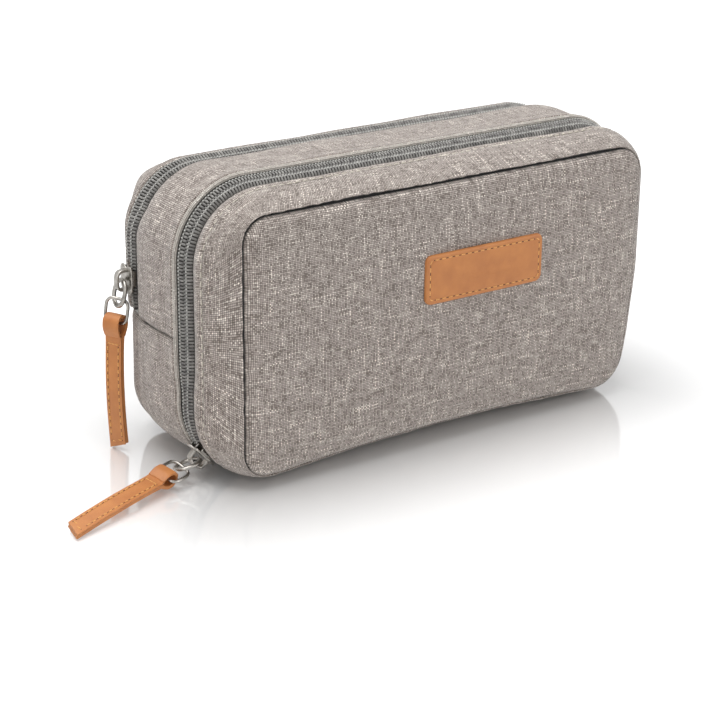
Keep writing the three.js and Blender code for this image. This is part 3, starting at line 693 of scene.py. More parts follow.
def leather_finish():
    """Vegetable-tanned leather in two near tones, with pores and fine creases."""
    material, nodes, links, shader = new_finish("tan_leather")
    where = nodes.new("ShaderNodeTexCoord").outputs["Object"]
    mottle = pattern(nodes, links, "Noise", where, {"Scale": 160, "Detail": 5}).outputs["Fac"]
    ramped(nodes, links, mottle, (0.30, 0.72), (rgb(174, 109, 58), rgb(191, 125, 68)), shader)
    pores = pattern(nodes, links, "Voronoi", where, {"Scale": 2600})
    creases = pattern(nodes, links, "Noise", where, {"Scale": 900, "Detail": 3})
    relief = nodes.new("ShaderNodeMath")
    relief.operation = "ADD"
    links.new(pores.outputs["Distance"], relief.inputs[0])
    links.new(creases.outputs["Fac"], relief.inputs[1])
    bumped(nodes, links, relief.outputs[0], 0.12 * MM, shader, 0.35)
    ranged(nodes, links, mottle, 0.42, 0.62, shader.inputs["Roughness"])
    return material


def thread_finish(name, colour):
    """Waxed thread, its plies a fine slanted ripple, with painted shade in the grooves between them."""
    material, nodes, links, shader = new_finish(name)
    where = nodes.new("ShaderNodeTexCoord").outputs["Object"]
    ply = pattern(nodes, links, "Wave", where, {"Scale": 900, "Distortion": 1.5})
    ply.bands_direction = "DIAGONAL"
    # Painted shade: the colour drops to 0.7 of the thread's own where the ply wave is low, in the grooves
    # between plies.
    tones = nodes.new("ShaderNodeMix")
    tones.data_type = "RGBA"
    set_inputs(tones, {"A": tuple(0.7 * part for part in colour[:3]) + (1,), "B": colour})
    links.new(ply.outputs["Fac"], tones.inputs["Factor"])
    links.new(tones.outputs["Result"], shader.inputs["Base Color"])
    bumped(nodes, links, ply.outputs["Fac"], 0.08 * MM, shader)
    set_inputs(shader, {"Roughness": 0.6})
    return material


def rounded_corners(width, height, radius, steps):
    """Points round a rectangle with round corners, about its own middle."""
    points = []
    for quarter, (x, z) in enumerate((RIGHT_TOP, LEFT_TOP, LEFT_BASE, RIGHT_BASE)):
        for k in range(steps + 1):
            turn = math.pi / 2 * (quarter + k / steps)
            points.append(Vector((x * (width / 2 - radius) + radius * math.cos(turn),
                                  z * (height / 2 - radius) + radius * math.sin(turn))))
    return points


def every(points, pitch, closed=True):
    """Places a pitch apart along a line of points, each with its heading."""
    line = points + points[:1] if closed else points
    total = lengths_along(line)
    count = max(1, round(total[-1] / pitch))
    places = []
    for n in range(count):
        target = (n + 0.5) * total[-1] / count
        k = max(i for i, length in enumerate(total[:-1]) if length <= target)
        share = (target - total[k]) / max(1e-9, total[k + 1] - total[k])
        places.append((line[k].lerp(line[k + 1], share), (line[k + 1] - line[k]).normalized()))
    return places


def many(bm_of_one, matrices):
    """Copies of one small mesh, one at each matrix."""
    one = bpy.data.meshes.new("one")
    bm_of_one.to_mesh(one)
    bm_of_one.free()
    whole = bmesh.new()
    whole.from_mesh(one)
    first = whole.verts[:] + whole.edges[:] + whole.faces[:]
    for matrix in matrices:
        copy = bmesh.ops.duplicate(whole, geom=first)
        moved = [part for part in copy["geom"] if isinstance(part, bmesh.types.BMVert)]
        bmesh.ops.transform(whole, matrix=matrix, verts=moved)
    bmesh.ops.delete(whole, geom=first, context="VERTS")
    bpy.data.meshes.remove(one)
    return whole


def stitch(length, thick):
    """One stitch lying along X, its ends dipping into the holes."""
    bm = bmesh.new()
    bmesh.ops.create_uvsphere(bm, u_segments=8, v_segments=6, radius=0.5)
    bmesh.ops.rotate(bm, matrix=Matrix.Rotation(math.pi / 2, 3, "Y"), verts=bm.verts[:])
    for v in bm.verts:
        v.co.x = math.copysign(abs(v.co.x * 2) ** 0.7 / 2, v.co.x) if v.co.x else 0.0
        v.co.z -= 1.2 * v.co.x * v.co.x
    bmesh.ops.scale(bm, vec=(length, thick, thick), verts=bm.verts[:])
    return bm


def awl_holes(length, radius=0.25):
    """The two holes of a stitch: dark blobs, pressed in a little, painted shade for the holes."""
    bm = bmesh.new()
    for end in (-1, 1):
        dot = bmesh.ops.create_icosphere(bm, subdivisions=1, radius=radius)
        bmesh.ops.scale(bm, vec=(1, 0.9, 0.45), verts=dot["verts"])
        bmesh.ops.translate(bm, vec=(end * length * 0.56, 0, -0.06), verts=dot["verts"])
    return bm


def standing(x, y, z, origin):
    return Matrix.Translation(origin) @ Matrix((x, y, z)).transposed().to_4x4()


tan_leather = leather_finish()
tan_thread = thread_finish("tan_thread", rgb(232, 172, 100))
# Painted shade: a dark brown for the stitch holes, which look dark from their depth.
painted_hole_shade = thread_finish("painted_hole_shade", rgb(96, 52, 26))
label_middle = Vector((LABEL_X, 0, LABEL_Z))
sew_line = rounded_corners(LABEL_WIDTH - 2 * LABEL_SEW_IN, LABEL_HEIGHT - 2 * LABEL_SEW_IN, SEW_RADIUS, 5)


def label_surface(x, z):
    """How far the label bows with the panel under it, at a place on it."""
    return LABEL_BOW * (1 - (2 * x / LABEL_WIDTH) ** 2) * (1 - 0.4 * (2 * z / LABEL_HEIGHT) ** 2)


LABEL_ROWS = [(0.0, 0.0), (0.05, 0.55), (0.3, 0.9), (0.8, 1.0), (1.3, 0.96), (LABEL_SEW_IN, 0.82),
              (2.1, 0.96), (2.6, 1.0), (3.6, 1.0), (5.2, 1.0), (7.0, 1.0)]
label_ring = rounded_corners(LABEL_WIDTH, LABEL_HEIGHT, LABEL_RADIUS, 6)
label_line = [place for place, _ in every(label_ring, LABEL_STEP)]


def label_place(i, j):
    base = label_line[i % len(label_line)]
    inwards, rise = LABEL_ROWS[max(0, j - 1)]
    x = base.x * (1 - inwards / (LABEL_WIDTH / 2))
    z = base.y * (1 - inwards / (LABEL_HEIGHT / 2))
    thick = LABEL_THICK * (0.15 + 0.85 * rise) + label_surface(x, z) if j else 0.0
    return Vector((x, LABEL_BACK_Y - thick, z)) + label_middle


bm = laid_cloth(len(label_line), len(LABEL_ROWS), label_place, lambda i, j: (i * LABEL_STEP, j * 0.5),
                welded=True)
open_edges = [edge for edge in bm.edges if len(edge.link_faces) == 1]
bmesh.ops.holes_fill(bm, edges=open_edges, sides=0)
bmesh.ops.recalc_face_normals(bm, faces=bm.faces[:])
put("label", bm, tan_leather, "front_cover", node=("label_patch",), slot="leather")
sewing = []
for place, heading in every(sew_line, SEW_STITCH + SEW_GAP):
    along = Vector((heading.x, 0, heading.y))
    outward = Vector((0, -1, 0))
    y = LABEL_BACK_Y - LABEL_THICK * 0.88 - label_surface(place.x, place.y)
    centre = Vector((place.x, y, place.y)) + label_middle
    sewing.append(standing(along, outward.cross(along), outward, centre))
put("label_stitches", many(stitch(SEW_STITCH, THREAD_THICK), sewing), tan_thread, "front_cover",
    slot="leather")
put("label_holes", many(awl_holes(SEW_STITCH, 0.36), sewing), painted_hole_shade, "front_cover", slot="leather")

# Seams of the panels: a near-black strip deep between the panel and the rolled rim, painted
# shade for the dark crease there. The one in front is laid here, and the two behind follow the back panel.
SEAM_ROWS = [(36.7, 0.3), (36.3, 0.0), (36.2, -0.5), (36.0, -1.6)]
BACK_SEAM_DROP = -1.9
# Painted shade: near-black woven tones for the shaded crease at the bottom of the seam.
seam_shade_cloth = woven("seam_painted_shade", 2.2, 0.2, rgb(8, 7, 7), rgb(16, 15, 15), rgb(28, 26, 25),
                   (0.42, 0.58), 0.1)


def panel_seam(name, away, stops, body, welded=False):
    drop = 0.0 if away < 0 else BACK_SEAM_DROP
    section = [(away * y, 1.0, out + drop) for y, out in SEAM_ROWS]
    laid_round(name, section, stops, seam_shade_cloth, body, (), "heather_fabric", wall=0.4, welded=welded,
               parts=False)


panel_seam("front_panel_seam", -1, walk(FULL_TURN), "front_cover", welded=True)

# Sides of the middle: a strip of heather over the top and down to a cross seam at mid height,
# and one under the base that runs on to the back panel. Both fold under beside the zips.
CROSS_ROOM = 0.35
MIDDLE_STEP = 1.6
EDGE_ROOM = 1.4
MIDDLE_COLUMNS = 20
OVER_TOP = [at_height(1, FOLD_HEIGHT + CROSS_ROOM), corner(RIGHT_TOP, 0), corner(RIGHT_TOP, 90),
            corner(LEFT_TOP, 90), corner(LEFT_TOP, 180), at_height(-1, FOLD_HEIGHT + CROSS_ROOM)]
UNDER_BASE = [at_height(-1, FOLD_HEIGHT - CROSS_ROOM), corner(LEFT_BASE, 180), corner(LEFT_BASE, 270),
              corner(RIGHT_BASE, 270), corner(RIGHT_BASE, 360), at_height(1, FOLD_HEIGHT - CROSS_ROOM)]
front_edge, rear_edge = FRONT_ZIP + HALF_SLOT, REAR_ZIP - HALF_SLOT
face_width = rear_edge - front_edge - 2 * EDGE_ROOM
face_places = [front_edge + EDGE_ROOM + face_width * k / MIDDLE_COLUMNS for k in range(MIDDLE_COLUMNS + 1)]
middle_face = [(y, 0.0, bulge(y)) for y in face_places]
middle_section = folded_edge(front_edge, 1) + middle_face + folded_edge(rear_edge, -1)[::-1]


def seamed(run_length, seed):
    """Lift of a strip whose two ends are turned in to a cross seam."""
    def lift(along, y):
        end = min(along, run_length - along)
        turned = -0.75 * math.exp(-(end / 0.9) ** 2)
        pucker = ripple(y, 3.3, seed, 0, 0.35, end, 3.0)
        beside = min(abs(y - front_edge), abs(y - rear_edge))
        edge_pucker = ripple(along, 3.4, seed, 4, 0.16, beside, 3.0)
        drape = noise.noise(Vector((along / 30, y / 14, seed))) * 0.55
        return turned + pucker + edge_pucker + drape
    return lift


def track_length(stops):
    return lengths_along([Vector(stop_point(stop, 0, 0)) for stop in stops])[-1]


top_stops, base_stops = walk(OVER_TOP, MIDDLE_STEP), walk(UNDER_BASE, MIDDLE_STEP)
top_length, base_length = track_length(top_stops), track_length(base_stops)
laid_round("middle_top", middle_section, top_stops, heather, "main_case", ("middle_gusset",),
           "heather_fabric", seamed(top_length, 11))
rear_rim = rolled_rim(REAR_ZIP + HALF_SLOT + RIM_FROM_EDGE, BACK_SEAM)
base_rear = [(y, REAR_START_SHARE * ((y - 14) / 12.5) ** 2, 0.2)
             for y in (16.4, 18.0, 19.8, 21.6, 23.4, 25.0)]
base_section = folded_edge(front_edge, 1) + middle_face + base_rear + rear_rim
laid_round("middle_base", base_section, base_stops, heather, "main_case", ("base_gusset",),
           "heather_fabric", seamed(base_length, 13))
flap_edge = folded_edge(REAR_ZIP + HALF_SLOT, 1)
flap_section = [(y, REAR_EDGE_SHARE, out) for y, _, out in flap_edge] + rear_rim
laid_round("flap_side", flap_section, top_stops, heather, "rear_flap", ("rear_gusset",),
           "heather_fabric", seamed(top_length, 17))

# Back panel: one crowned piece of heather over foam. On the case it folds at mid height, where
# the rear flap's stitching ends; here it is laid whole, on no body, and does not bend.
BACK_EDGE_Y, BACK_FACE_Y, BACK_OUT = 36.2, 38.8, -2.6
back_panel = put("back_panel_cloth", panel_mesh(1, BACK_EDGE_Y, BACK_FACE_Y, PANEL_CROWN, 23, BACK_OUT),
                 heather, None, towards(1), CLOTH, slot="heather_fabric")
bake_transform(back_panel)
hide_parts("back_panel_lower", "back_panel_upper")
panel_seam("back_seam_upper", 1, top_stops, "rear_flap")
panel_seam("back_seam_lower", 1, base_stops, "main_case")

# Topstitching: a line of stitches along the cover's side, in a thread near the cloth's tone. It
# lies in the groove that its pull makes in the cloth.
TOPSTITCH, TOPSTITCH_THICK, TOPSTITCH_SUNK = 2.3, 0.62, 0.5


def headed(track, pitch):
    """Places a pitch apart along a track, each with its heading and the way out of the case."""
    for place, heading in every(track, pitch, closed=False):
        ahead = Vector((heading.x, 0, heading.y))
        yield place, ahead, outwards_at(place, Vector((heading.y, 0, -heading.x)))


def outwards_at(place, across):
    """The direction across the track, turned to point out of the case."""
    return across if across.dot(Vector((place.x, 0, place.y - CASE_HEIGHT / 2))) >= 0 else -across


def topstitching(name, section, line_y, marks, body):
    y, share, out = min(section, key=lambda row: abs(row[0] - line_y))
    track = [Vector(stop_point(stop, share, out - TOPSTITCH_SUNK)) for stop in walk(marks)]
    places = []
    for place, ahead, outward in headed(track, STITCH_PITCH):
        centre = settled(place.x, y, max(place.y, 0.3))
        places.append(standing(ahead, outward.cross(ahead), outward, centre))
    put(name, many(stitch(TOPSTITCH, TOPSTITCH_THICK), places), cloth_thread, body, slot="heather_fabric")


cloth_thread = thread_finish("cloth_thread", rgb(208, 201, 188))
topstitching("cover_topstitches", cover_section, COVER_STITCH_Y, FULL_TURN, "front_cover")

# Zips: woven grey tape under each cloth edge with a corded bead, and a nylon coil sewn over
# the bead by a row of pale stitches. Closed, the two coils make one domed band.
tape_cloth = woven("tape_cloth", 3.2, 0.3, rgb(62, 60, 58), rgb(82, 80, 77), rgb(102, 99, 95),
                   (0.36, 0.56), 0.12, 0.1)
# Each row is a distance from the middle of the zip and a height above the wall.
TAPE_ROWS = [(0.02, -0.15), (0.4, -0.05), (0.9, -0.05), (1.5, -0.15), (2.0, -0.4), (2.4, -0.65), (2.8, -0.9),
             (3.2, -1.0), (3.9, -1.15), (4.6, -1.4), (5.4, -1.8)]
TAPE_WALL = 0.5
COIL_PITCH = 1.25
COIL_ACROSS, COIL_OUT = 1.42, -0.5
SEWN_ACROSS, SEWN_OUT = 1.5, 0.72
RIB_RADIUS, RIB_STRETCH, RIB_SLANT = 0.36, (1.22, 1.3, 0.98), 0.55
ZIP_STOP = 2.0
SLIDER_REACH = 5.25
SLIDER_ROOM = SLIDER_REACH + ZIP_STOP


def round_from(start_degrees):
    return [corner(RIGHT_BASE, 300), corner(RIGHT_BASE, 360), corner(RIGHT_TOP, 0),
            corner(RIGHT_TOP, 90), corner(LEFT_TOP, 90), corner(LEFT_TOP, 180),
            corner(LEFT_BASE, 180), corner(LEFT_BASE, start_degrees)]


def over_top_from(left_height):
    foot = FOLD_HEIGHT + 0.3 + ZIP_STOP
    return [at_height(1, foot), corner(RIGHT_TOP, 0), corner(RIGHT_TOP, 90), corner(LEFT_TOP, 90),
            corner(LEFT_TOP, 180), at_height(-1, left_height or foot)]


def rib():
    """One turn of the coil: a nylon arch across the zip, X across and Z outwards."""
    bm = bmesh.new()
    ring = bmesh.ops.create_circle(bm, segments=6, radius=RIB_RADIUS)
    quarter = Matrix.Rotation(math.pi / 2, 3, "X")
    bmesh.ops.rotate(bm, matrix=quarter, verts=ring["verts"])
    bmesh.ops.translate(bm, vec=(-1.0, 0, 0), verts=ring["verts"])
    bmesh.ops.rotate(bm, matrix=quarter, verts=ring["verts"])
    bmesh.ops.spin(bm, geom=bm.verts[:] + bm.edges[:], cent=(0, 0, 0), axis=(0, 1, 0),
                   angle=math.pi, steps=7)
    bmesh.ops.remove_doubles(bm, verts=bm.verts[:], dist=WELD)
    bmesh.ops.scale(bm, vec=RIB_STRETCH, verts=bm.verts[:])
    for v in bm.verts:
        v.co.x -= RIB_SLANT * max(0.0, v.co.z)
    bmesh.ops.recalc_face_normals(bm, faces=bm.faces[:])
    return bm


def coil_places(zip_y, side, stops, pitch, phase, across, out):
    """A matrix for each turn: X towards the cloth, Y along the track, Z out of the wall."""
    track = [Vector(stop_point(stop, 0, 0)) for stop in stops]
    matrices = []
    for place, ahead, outward in headed(track, pitch):
        rise = out + chain_lean(zip_y + side * across, *place)
        centre = Vector((place.x, zip_y + side * across, place.y)) + outward * rise + ahead * (phase * pitch)
        slope = chain_lean(zip_y + side * 2, *place) - chain_lean(zip_y, *place)
        inwards = (Vector((0, side, 0)) * 2 + outward * slope).normalized()
        outward = outwards_at(place, ahead.cross(inwards) * side)
        matrices.append(standing(inwards, outward.cross(inwards), outward, centre))
    return matrices


def coil_finish():
    """Grey nylon in two near tones, worn a little shiny."""
    material, nodes, links, shader = new_finish("coil_nylon")
    where = nodes.new("ShaderNodeTexCoord").outputs["Object"]
    wear = pattern(nodes, links, "Noise", where, {"Scale": 420, "Detail": 3}).outputs["Fac"]
    ramped(nodes, links, wear, (0.35, 0.70), (rgb(96, 94, 92), rgb(148, 146, 142)), shader)
    bumped(nodes, links, wear, 0.05 * MM, shader)
    set_inputs(shader, {"Roughness": 0.42})
    return material


coil_nylon = coil_finish()
coil_thread = thread_finish("coil_thread", rgb(198, 198, 193))


def zip_half(name, zip_y, side, marks, body, lay=0.0):
    """One side of a zip: its tape, its coil and the stitches that hold the coil."""
    stops = walk(marks)
    section = [(zip_y + side * row, lay, bulge(zip_y + side * row) + out) for row, out in TAPE_ROWS]
    laid_round(f"{name}_woven_tape", section, stops, tape_cloth, body, (f"{name}_tape",), "zip_tape",
               wall=TAPE_WALL, parts=False)
    phase = 0.25 * side
    turns = coil_places(zip_y, side, stops, COIL_PITCH, phase, COIL_ACROSS, COIL_OUT)
    put(f"{name}_coil_turns", many(rib(), turns), coil_nylon, body, node=(f"{name}_coil",), slot="zip_coil")
    sewn = coil_places(zip_y, side, stops, COIL_PITCH, phase + 0.5, SEWN_ACROSS, SEWN_OUT)
    turned = [place @ Matrix.Rotation(math.pi / 2, 4, "Z") for place in sewn]
    put(f"{name}_stitches", many(stitch(0.8, 0.6), turned), coil_thread, body, slot="zip_coil")


BINDING_RADIUS, BINDING_OUT = 0.75, 0.15
edge_cloth = woven("edge_cloth", 2.6, 0.1, rgb(168, 162, 154), rgb(188, 182, 174), rgb(204, 199, 191),
                   (0.34, 0.6), 0.06)


def binding(name, zip_y, side, marks, body):
    """The smooth rolled edge that stands beside the coil."""
    middle_y = zip_y + side * (HALF_SLOT + 0.05)
    low = bulge(zip_y + side * HALF_SLOT) * 0.2 + BINDING_OUT
    section = [(middle_y + side * BINDING_RADIUS * math.cos(math.radians(turn)), 0.0,
                low + BINDING_RADIUS * math.sin(math.radians(turn))) for turn in range(-30, 211, 20)]
    laid_round(name, section, walk(marks), edge_cloth, body, (), "heather_fabric", wall=0.25)


binding("front_zip_binding", FRONT_ZIP, 1, round_from(235), "main_case")
zip_half("front_zip_body", FRONT_ZIP, 1, round_from(240), "main_case")
zip_half("front_zip_cover", FRONT_ZIP, -1, round_from(210), "front_cover")
zip_half("rear_zip_body", REAR_ZIP, -1, over_top_from(None), "main_case")
zip_half("rear_zip_flap", REAR_ZIP, 1, over_top_from(REAR_SLIDER_HEIGHT + SLIDER_ROOM), "rear_flap",
         REAR_EDGE_SHARE)

# Sliders: nickel-plated die castings. Two plates joined by a post at the front hold the coil
# between them, flanges guide it, and a bowed bridge on top carries the pull.
SLIDER_HALF = 4.1
PLATE = 1.0
CHANNEL_TOP = 1.4
CHANNEL_FOOT = -2.9
PLATE_ROUND, PLATE_BITE = 0.32, 0.2
FLANGE, FLANGE_FOOT = 0.7, 0.25
POST_HALF = 0.3
BRIDGE_RISE = 3.16
BRIDGE_WIDTH = 2.4
PIVOT_OUT = CHANNEL_TOP + PLATE + BRIDGE_RISE / 2


def nickel_finish():
    """Satin nickel plate, with fine brushing and dull rubbed patches."""
    material, nodes, links, shader = new_finish("satin_nickel")
    where = nodes.new("ShaderNodeTexCoord").outputs["Object"]
    stretch = set_inputs(nodes.new("ShaderNodeMapping"), {"Scale": (900, 900, 5200)})
    links.new(where, stretch.inputs["Vector"])
    brushing = pattern(nodes, links, "Noise", stretch.outputs[0], {"Scale": 1, "Detail": 3}).outputs["Fac"]
    rubbed = pattern(nodes, links, "Noise", where, {"Scale": 340}).outputs["Fac"]
    ramped(nodes, links, rubbed, (0.3, 0.7), (rgb(138, 134, 128), rgb(184, 180, 174)), shader)
    ranged(nodes, links, brushing, 0.20, 0.38, shader.inputs["Roughness"])
    bumped(nodes, links, brushing, 0.04 * MM, shader, 0.25)
    set_inputs(shader, {"Metallic": 1.0})
    return material


satin_nickel = nickel_finish()


def pressed(points, low, high, rounding, segments=3):
    """A plate cut to an outline across X and along Z, from low to high, its edges rounded."""
    bm = bmesh.new()
    bm.faces.new([bm.verts.new((x, low, z)) for x, z in points])
    raised = bmesh.ops.extrude_face_region(bm, geom=bm.faces[:])
    top = [part for part in raised["geom"] if isinstance(part, bmesh.types.BMVert)]
    bmesh.ops.translate(bm, vec=(0, high - low, 0), verts=top)
    bmesh.ops.recalc_face_normals(bm, faces=bm.faces[:])
    bmesh.ops.bevel(bm, geom=bm.edges[:], offset=rounding, segments=segments, profile=0.5,
                    affect="EDGES", material=-1, clamp_overlap=True)
    return bm


def gathered(parts):
    """Several meshes in one."""
    whole = bmesh.new()
    for part in parts:
        mesh = bpy.data.meshes.new("part")
        part.to_mesh(mesh)
        part.free()
        whole.from_mesh(mesh)
        bpy.data.meshes.remove(mesh)
    return whole


def slider():
    """A slider, X across its zip, Y outwards and Z towards its nose."""
    wide, reach = SLIDER_HALF, SLIDER_REACH
    side = [(wide * 0.72, -reach), (wide * 0.94, -reach * 0.55), (wide, -reach / 3), (wide, reach * 0.72),
            (wide * 0.8, reach), (0.9, reach)]
    outline = [(-wide * 0.72, -reach)] + side + [(0, reach * 0.8)] + [(-x, z) for x, z in side[:0:-1]]
    parts = [pressed(outline, CHANNEL_TOP, CHANNEL_TOP + PLATE, PLATE_ROUND),
             pressed(outline, CHANNEL_FOOT - PLATE, CHANNEL_FOOT, PLATE_ROUND)]
    for hand in (-1, 1):
        edge, inner = hand * wide, hand * (wide - FLANGE)
        flange = [(inner, -reach / 3), (edge, -reach / 3), (edge, reach * 0.72), (inner, reach * 0.72)]
        parts.append(pressed(flange, FLANGE_FOOT, CHANNEL_TOP + PLATE_BITE * 2, 0.2, 2))
    post = [(-POST_HALF, reach / 4), (POST_HALF, reach / 4), (POST_HALF, reach * 0.78),
            (-POST_HALF, reach * 0.78)]
    parts.append(pressed(post, CHANNEL_FOOT - PLATE_BITE, CHANNEL_TOP + PLATE_BITE, 0.08, 1))
    return gathered(parts + [bridge()])


def bridge():
    """The bow on top that carries the pull."""
    base = CHANNEL_TOP + PLATE
    over = [(-4.0, -0.35), (-4.0, 1.4), (-3.7, 2.9), (-2.4, 3.95)]
    under = [(3.0, -0.35), (3.0, 1.3), (2.8, 2.4), (1.8, 3.1)]
    bow = []
    for half, crest in ((over, 4.3), (under, 3.2)):
        bow += smooth_run(half + [(0.0, crest)] + [(-along, rise) for along, rise in reversed(half)], 4)
    bm = bmesh.new()
    bm.faces.new([bm.verts.new((-BRIDGE_WIDTH / 2, base + rise, along)) for along, rise in bow])
    raised = bmesh.ops.extrude_face_region(bm, geom=bm.faces[:])
    far = [part for part in raised["geom"] if isinstance(part, bmesh.types.BMVert)]
    bmesh.ops.translate(bm, vec=(BRIDGE_WIDTH, 0, 0), verts=far)
    bmesh.ops.recalc_face_normals(bm, faces=bm.faces[:])
    rims = [edge for edge in bm.edges if abs(edge.verts[0].co.x - edge.verts[1].co.x) < 0.01]
    bmesh.ops.bevel(bm, geom=rims, offset=0.28, segments=3, profile=0.5, affect="EDGES", material=-1)
    return bm


def slider_frame(origin, ahead):
    """The place of a slider that heads along its track."""
    across = Vector((0, 1, 0))
    return standing(across, ahead.cross(across), ahead, origin)


def moulded(name, bm, frame_matrix, material, body, node, slot):
    """A piece made about its own origin and put at its place."""
    bmesh.ops.transform(bm, matrix=frame_matrix, verts=bm.verts[:])
    return put(name, bm, material, body, node=node, slot=slot)


turned = math.radians(FRONT_SLIDER_TURN)
rear_frame = slider_frame(Vector((-HALF_LENGTH, REAR_ZIP, REAR_SLIDER_HEIGHT)), Vector((0, 0, 1)))
front_frame = slider_frame(Vector((FRONT_SLIDER_RUN[0].x, FRONT_ZIP, FRONT_SLIDER_RUN[0].y)),
                           Vector((math.sin(turned), 0, -math.cos(turned))))
for end, frame_matrix in (("rear", rear_frame), ("front", front_frame)):
    moulded(f"{end}_slider_casting", slider(), frame_matrix, satin_nickel, f"{end}_slider",
            (f"{end}_slider",), "nickel")

# Pulls: a flat oval link swings in the slider's bridge, a wire ring passes over the link, and a
# tan leather strap is folded round the ring and stitched to itself.
LINK_WIDTH, LINK_LENGTH, LINK_BAR, LINK_THICK = 10.0, 11.0, 1.8, 1.3
RING_WIDTH, RING_LENGTH, RING_CORNER, WIRE = 9.8, 10.0, 2.6, 0.6
RING_OVER_BAR = 2.5
LINK_STEPS, LINK_FLAT, RING_STEP = 48, 0.75, 0.55
STRAP_WIDTH, STRAP_LENGTH, STRAP_LAYER = 6.5, 50.5, 1.1
STRAP_TUNNEL, STRAP_NECK = 2.2, 7.0
SEW_SHARE, BOW_SHARE, STRAP_PITCH, STRAP_STITCH = 0.36, 0.8, 2.7, 1.9
CUT_EDGE = 0.18
LINK_REACH = LINK_LENGTH - LINK_BAR
RING_REACH = RING_LENGTH - 2 * WIRE - RING_OVER_BAR
REAR_LEANS, REAR_TWISTS = (14, 9, 0), (-4, 34, 25)
FRONT_YAWS, FRONT_PITCHES, FRONT_TWISTS = (9, 15, 20), (8, 5, 3), (-15, 22, 13)


def link():
    """A flat oval: a rounded section carried round two half circles."""
    straight = (LINK_LENGTH - LINK_WIDTH) / 2
    radius = (LINK_WIDTH - LINK_BAR) / 2
    path = []
    for k in range(LINK_STEPS):
        turn = math.radians(360 / LINK_STEPS * k)
        lift = straight if k <= LINK_STEPS // 2 else -straight
        path.append(Vector((radius * math.cos(turn), radius * math.sin(turn) + lift)))
    return tube_round(path, LINK_BAR / 2, LINK_THICK / 2, -(LINK_LENGTH - LINK_BAR) / 2, LINK_FLAT)


def tube_round(path, half_across, half_out, drop, flat=1.0, sides=12):
    """A closed tube along a path in the XZ plane, its section flattened when flat is under 1."""
    def place(i, j):
        here, ahead, behind = path[i % len(path)], path[(i + 1) % len(path)], path[i - 1]
        heading = (ahead - behind).normalized()
        outwards = Vector((heading.y, -heading.x))
        turn = 2 * math.pi * j / sides
        across = math.copysign(abs(math.cos(turn)) ** flat, math.cos(turn)) * half_across
        rise = math.copysign(abs(math.sin(turn)) ** flat, math.sin(turn)) * half_out
        x, z = here + outwards * across
        return Vector((x, rise, z + drop))
    bm = laid_cloth(len(path), sides, place, lambda i, j: (i, j), welded=True)
    bmesh.ops.recalc_face_normals(bm, faces=bm.faces[:])
    return bm


def ring():
    corners = rounded_corners(RING_WIDTH - 2 * WIRE, RING_LENGTH - 2 * WIRE, RING_CORNER, 8)
    path = [place for place, _ in every(corners, RING_STEP)]
    return tube_round(path, WIRE, WIRE, RING_OVER_BAR - (RING_LENGTH - 2 * WIRE) / 2)


def strap_line(fold, length):
    """Middle line of the leather: up one side, round the ring and down the other."""
    tip = STRAP_TUNNEL + STRAP_LAYER - length
    side = [(fold * 0.24, tip), (fold * 0.24, tip * 0.6), (fold * 0.24, -STRAP_NECK),
            (fold * 0.55, -STRAP_NECK * 0.6), (fold * 0.95, -STRAP_NECK * 0.22), (fold * 0.92, 1.1),
            (fold * 0.5, fold * 0.86)]
    return side + [(0.0, fold)] + [(-y, z) for y, z in reversed(side)]


def strap(skew, bow):
    """Both layers of the strap as one folded strip, X across, with a slanted end and a bow."""
    fold = STRAP_TUNNEL + STRAP_LAYER / 2
    run = smooth_run(strap_line(fold, STRAP_LENGTH), 9)
    along = lengths_along([Vector((y, z, 0)) for y, z in run])
    rows = [-0.5, -0.47, -0.42, -SEW_SHARE, -0.2, 0.0, 0.2, SEW_SHARE, 0.42, 0.47, 0.5]
    lowest = min(z for _, z in run)

    def place(i, j):
        y, z = run[i]
        x = rows[j] * STRAP_WIDTH
        down = clamped(z / lowest)
        crowned_edge = 0.22 * (abs(rows[j]) * 2) ** 6
        y -= math.copysign(crowned_edge, y) if abs(y) > 0.05 else 0.0
        y += BOW_SHARE * bow * math.sin(math.pi * down)
        sew = 0.16 * math.exp(-((abs(rows[j]) - SEW_SHARE) / 0.03) ** 2) if z < -3 else 0.0
        y -= math.copysign(sew, run[i][0])
        return Vector((x, y, z - skew * rows[j] * down ** 6))
    bm = laid_cloth(len(run) - 1, len(rows) - 1, place, lambda i, j: (along[i], rows[j] * STRAP_WIDTH))
    bmesh.ops.recalc_face_normals(bm, faces=bm.faces[:])
    return bm


def strap_stitches(skew, bow):
    """Rows of stitches down both edges, a row across the neck and one by the slanted end."""
    places = []
    tip = STRAP_TUNNEL + STRAP_LAYER - STRAP_LENGTH
    start = -STRAP_NECK - 1.2
    edge = SEW_SHARE * STRAP_WIDTH
    count = int((start - tip - 2.0) / STRAP_PITCH)
    rows = [(side * edge, start - (n + 0.5) * STRAP_PITCH, 0) for side in (-1, 1) for n in range(count)]
    rows += [(x, start + 0.6, 1) for x in (-1.6, 0.0, 1.6)]
    rows += [(x, tip + 2.1 - skew * x / STRAP_WIDTH, 1) for x in (-1.3, 1.3)]
    for face in (-1, 1):
        for x, z, across in rows:
            y = face * (STRAP_LAYER + 0.02) + BOW_SHARE * bow * math.sin(math.pi * clamped(z / tip))
            heading = Vector((1, 0, 0)) if across else Vector((0, 0, 1))
            outward = Vector((0, face, 0))
            places.append(standing(heading, outward.cross(heading), outward, Vector((x, y, z))))
    return places


def hung(pivot, direction, across, twist):
    """The place of a link, ring or strap that hangs in a direction, turned about it by a twist."""
    ahead = -direction
    across = (across - ahead * across.dot(ahead)).normalized()
    turned = Matrix.Rotation(math.radians(twist), 4, "Z")
    return standing(across, ahead.cross(across), ahead, pivot) @ turned


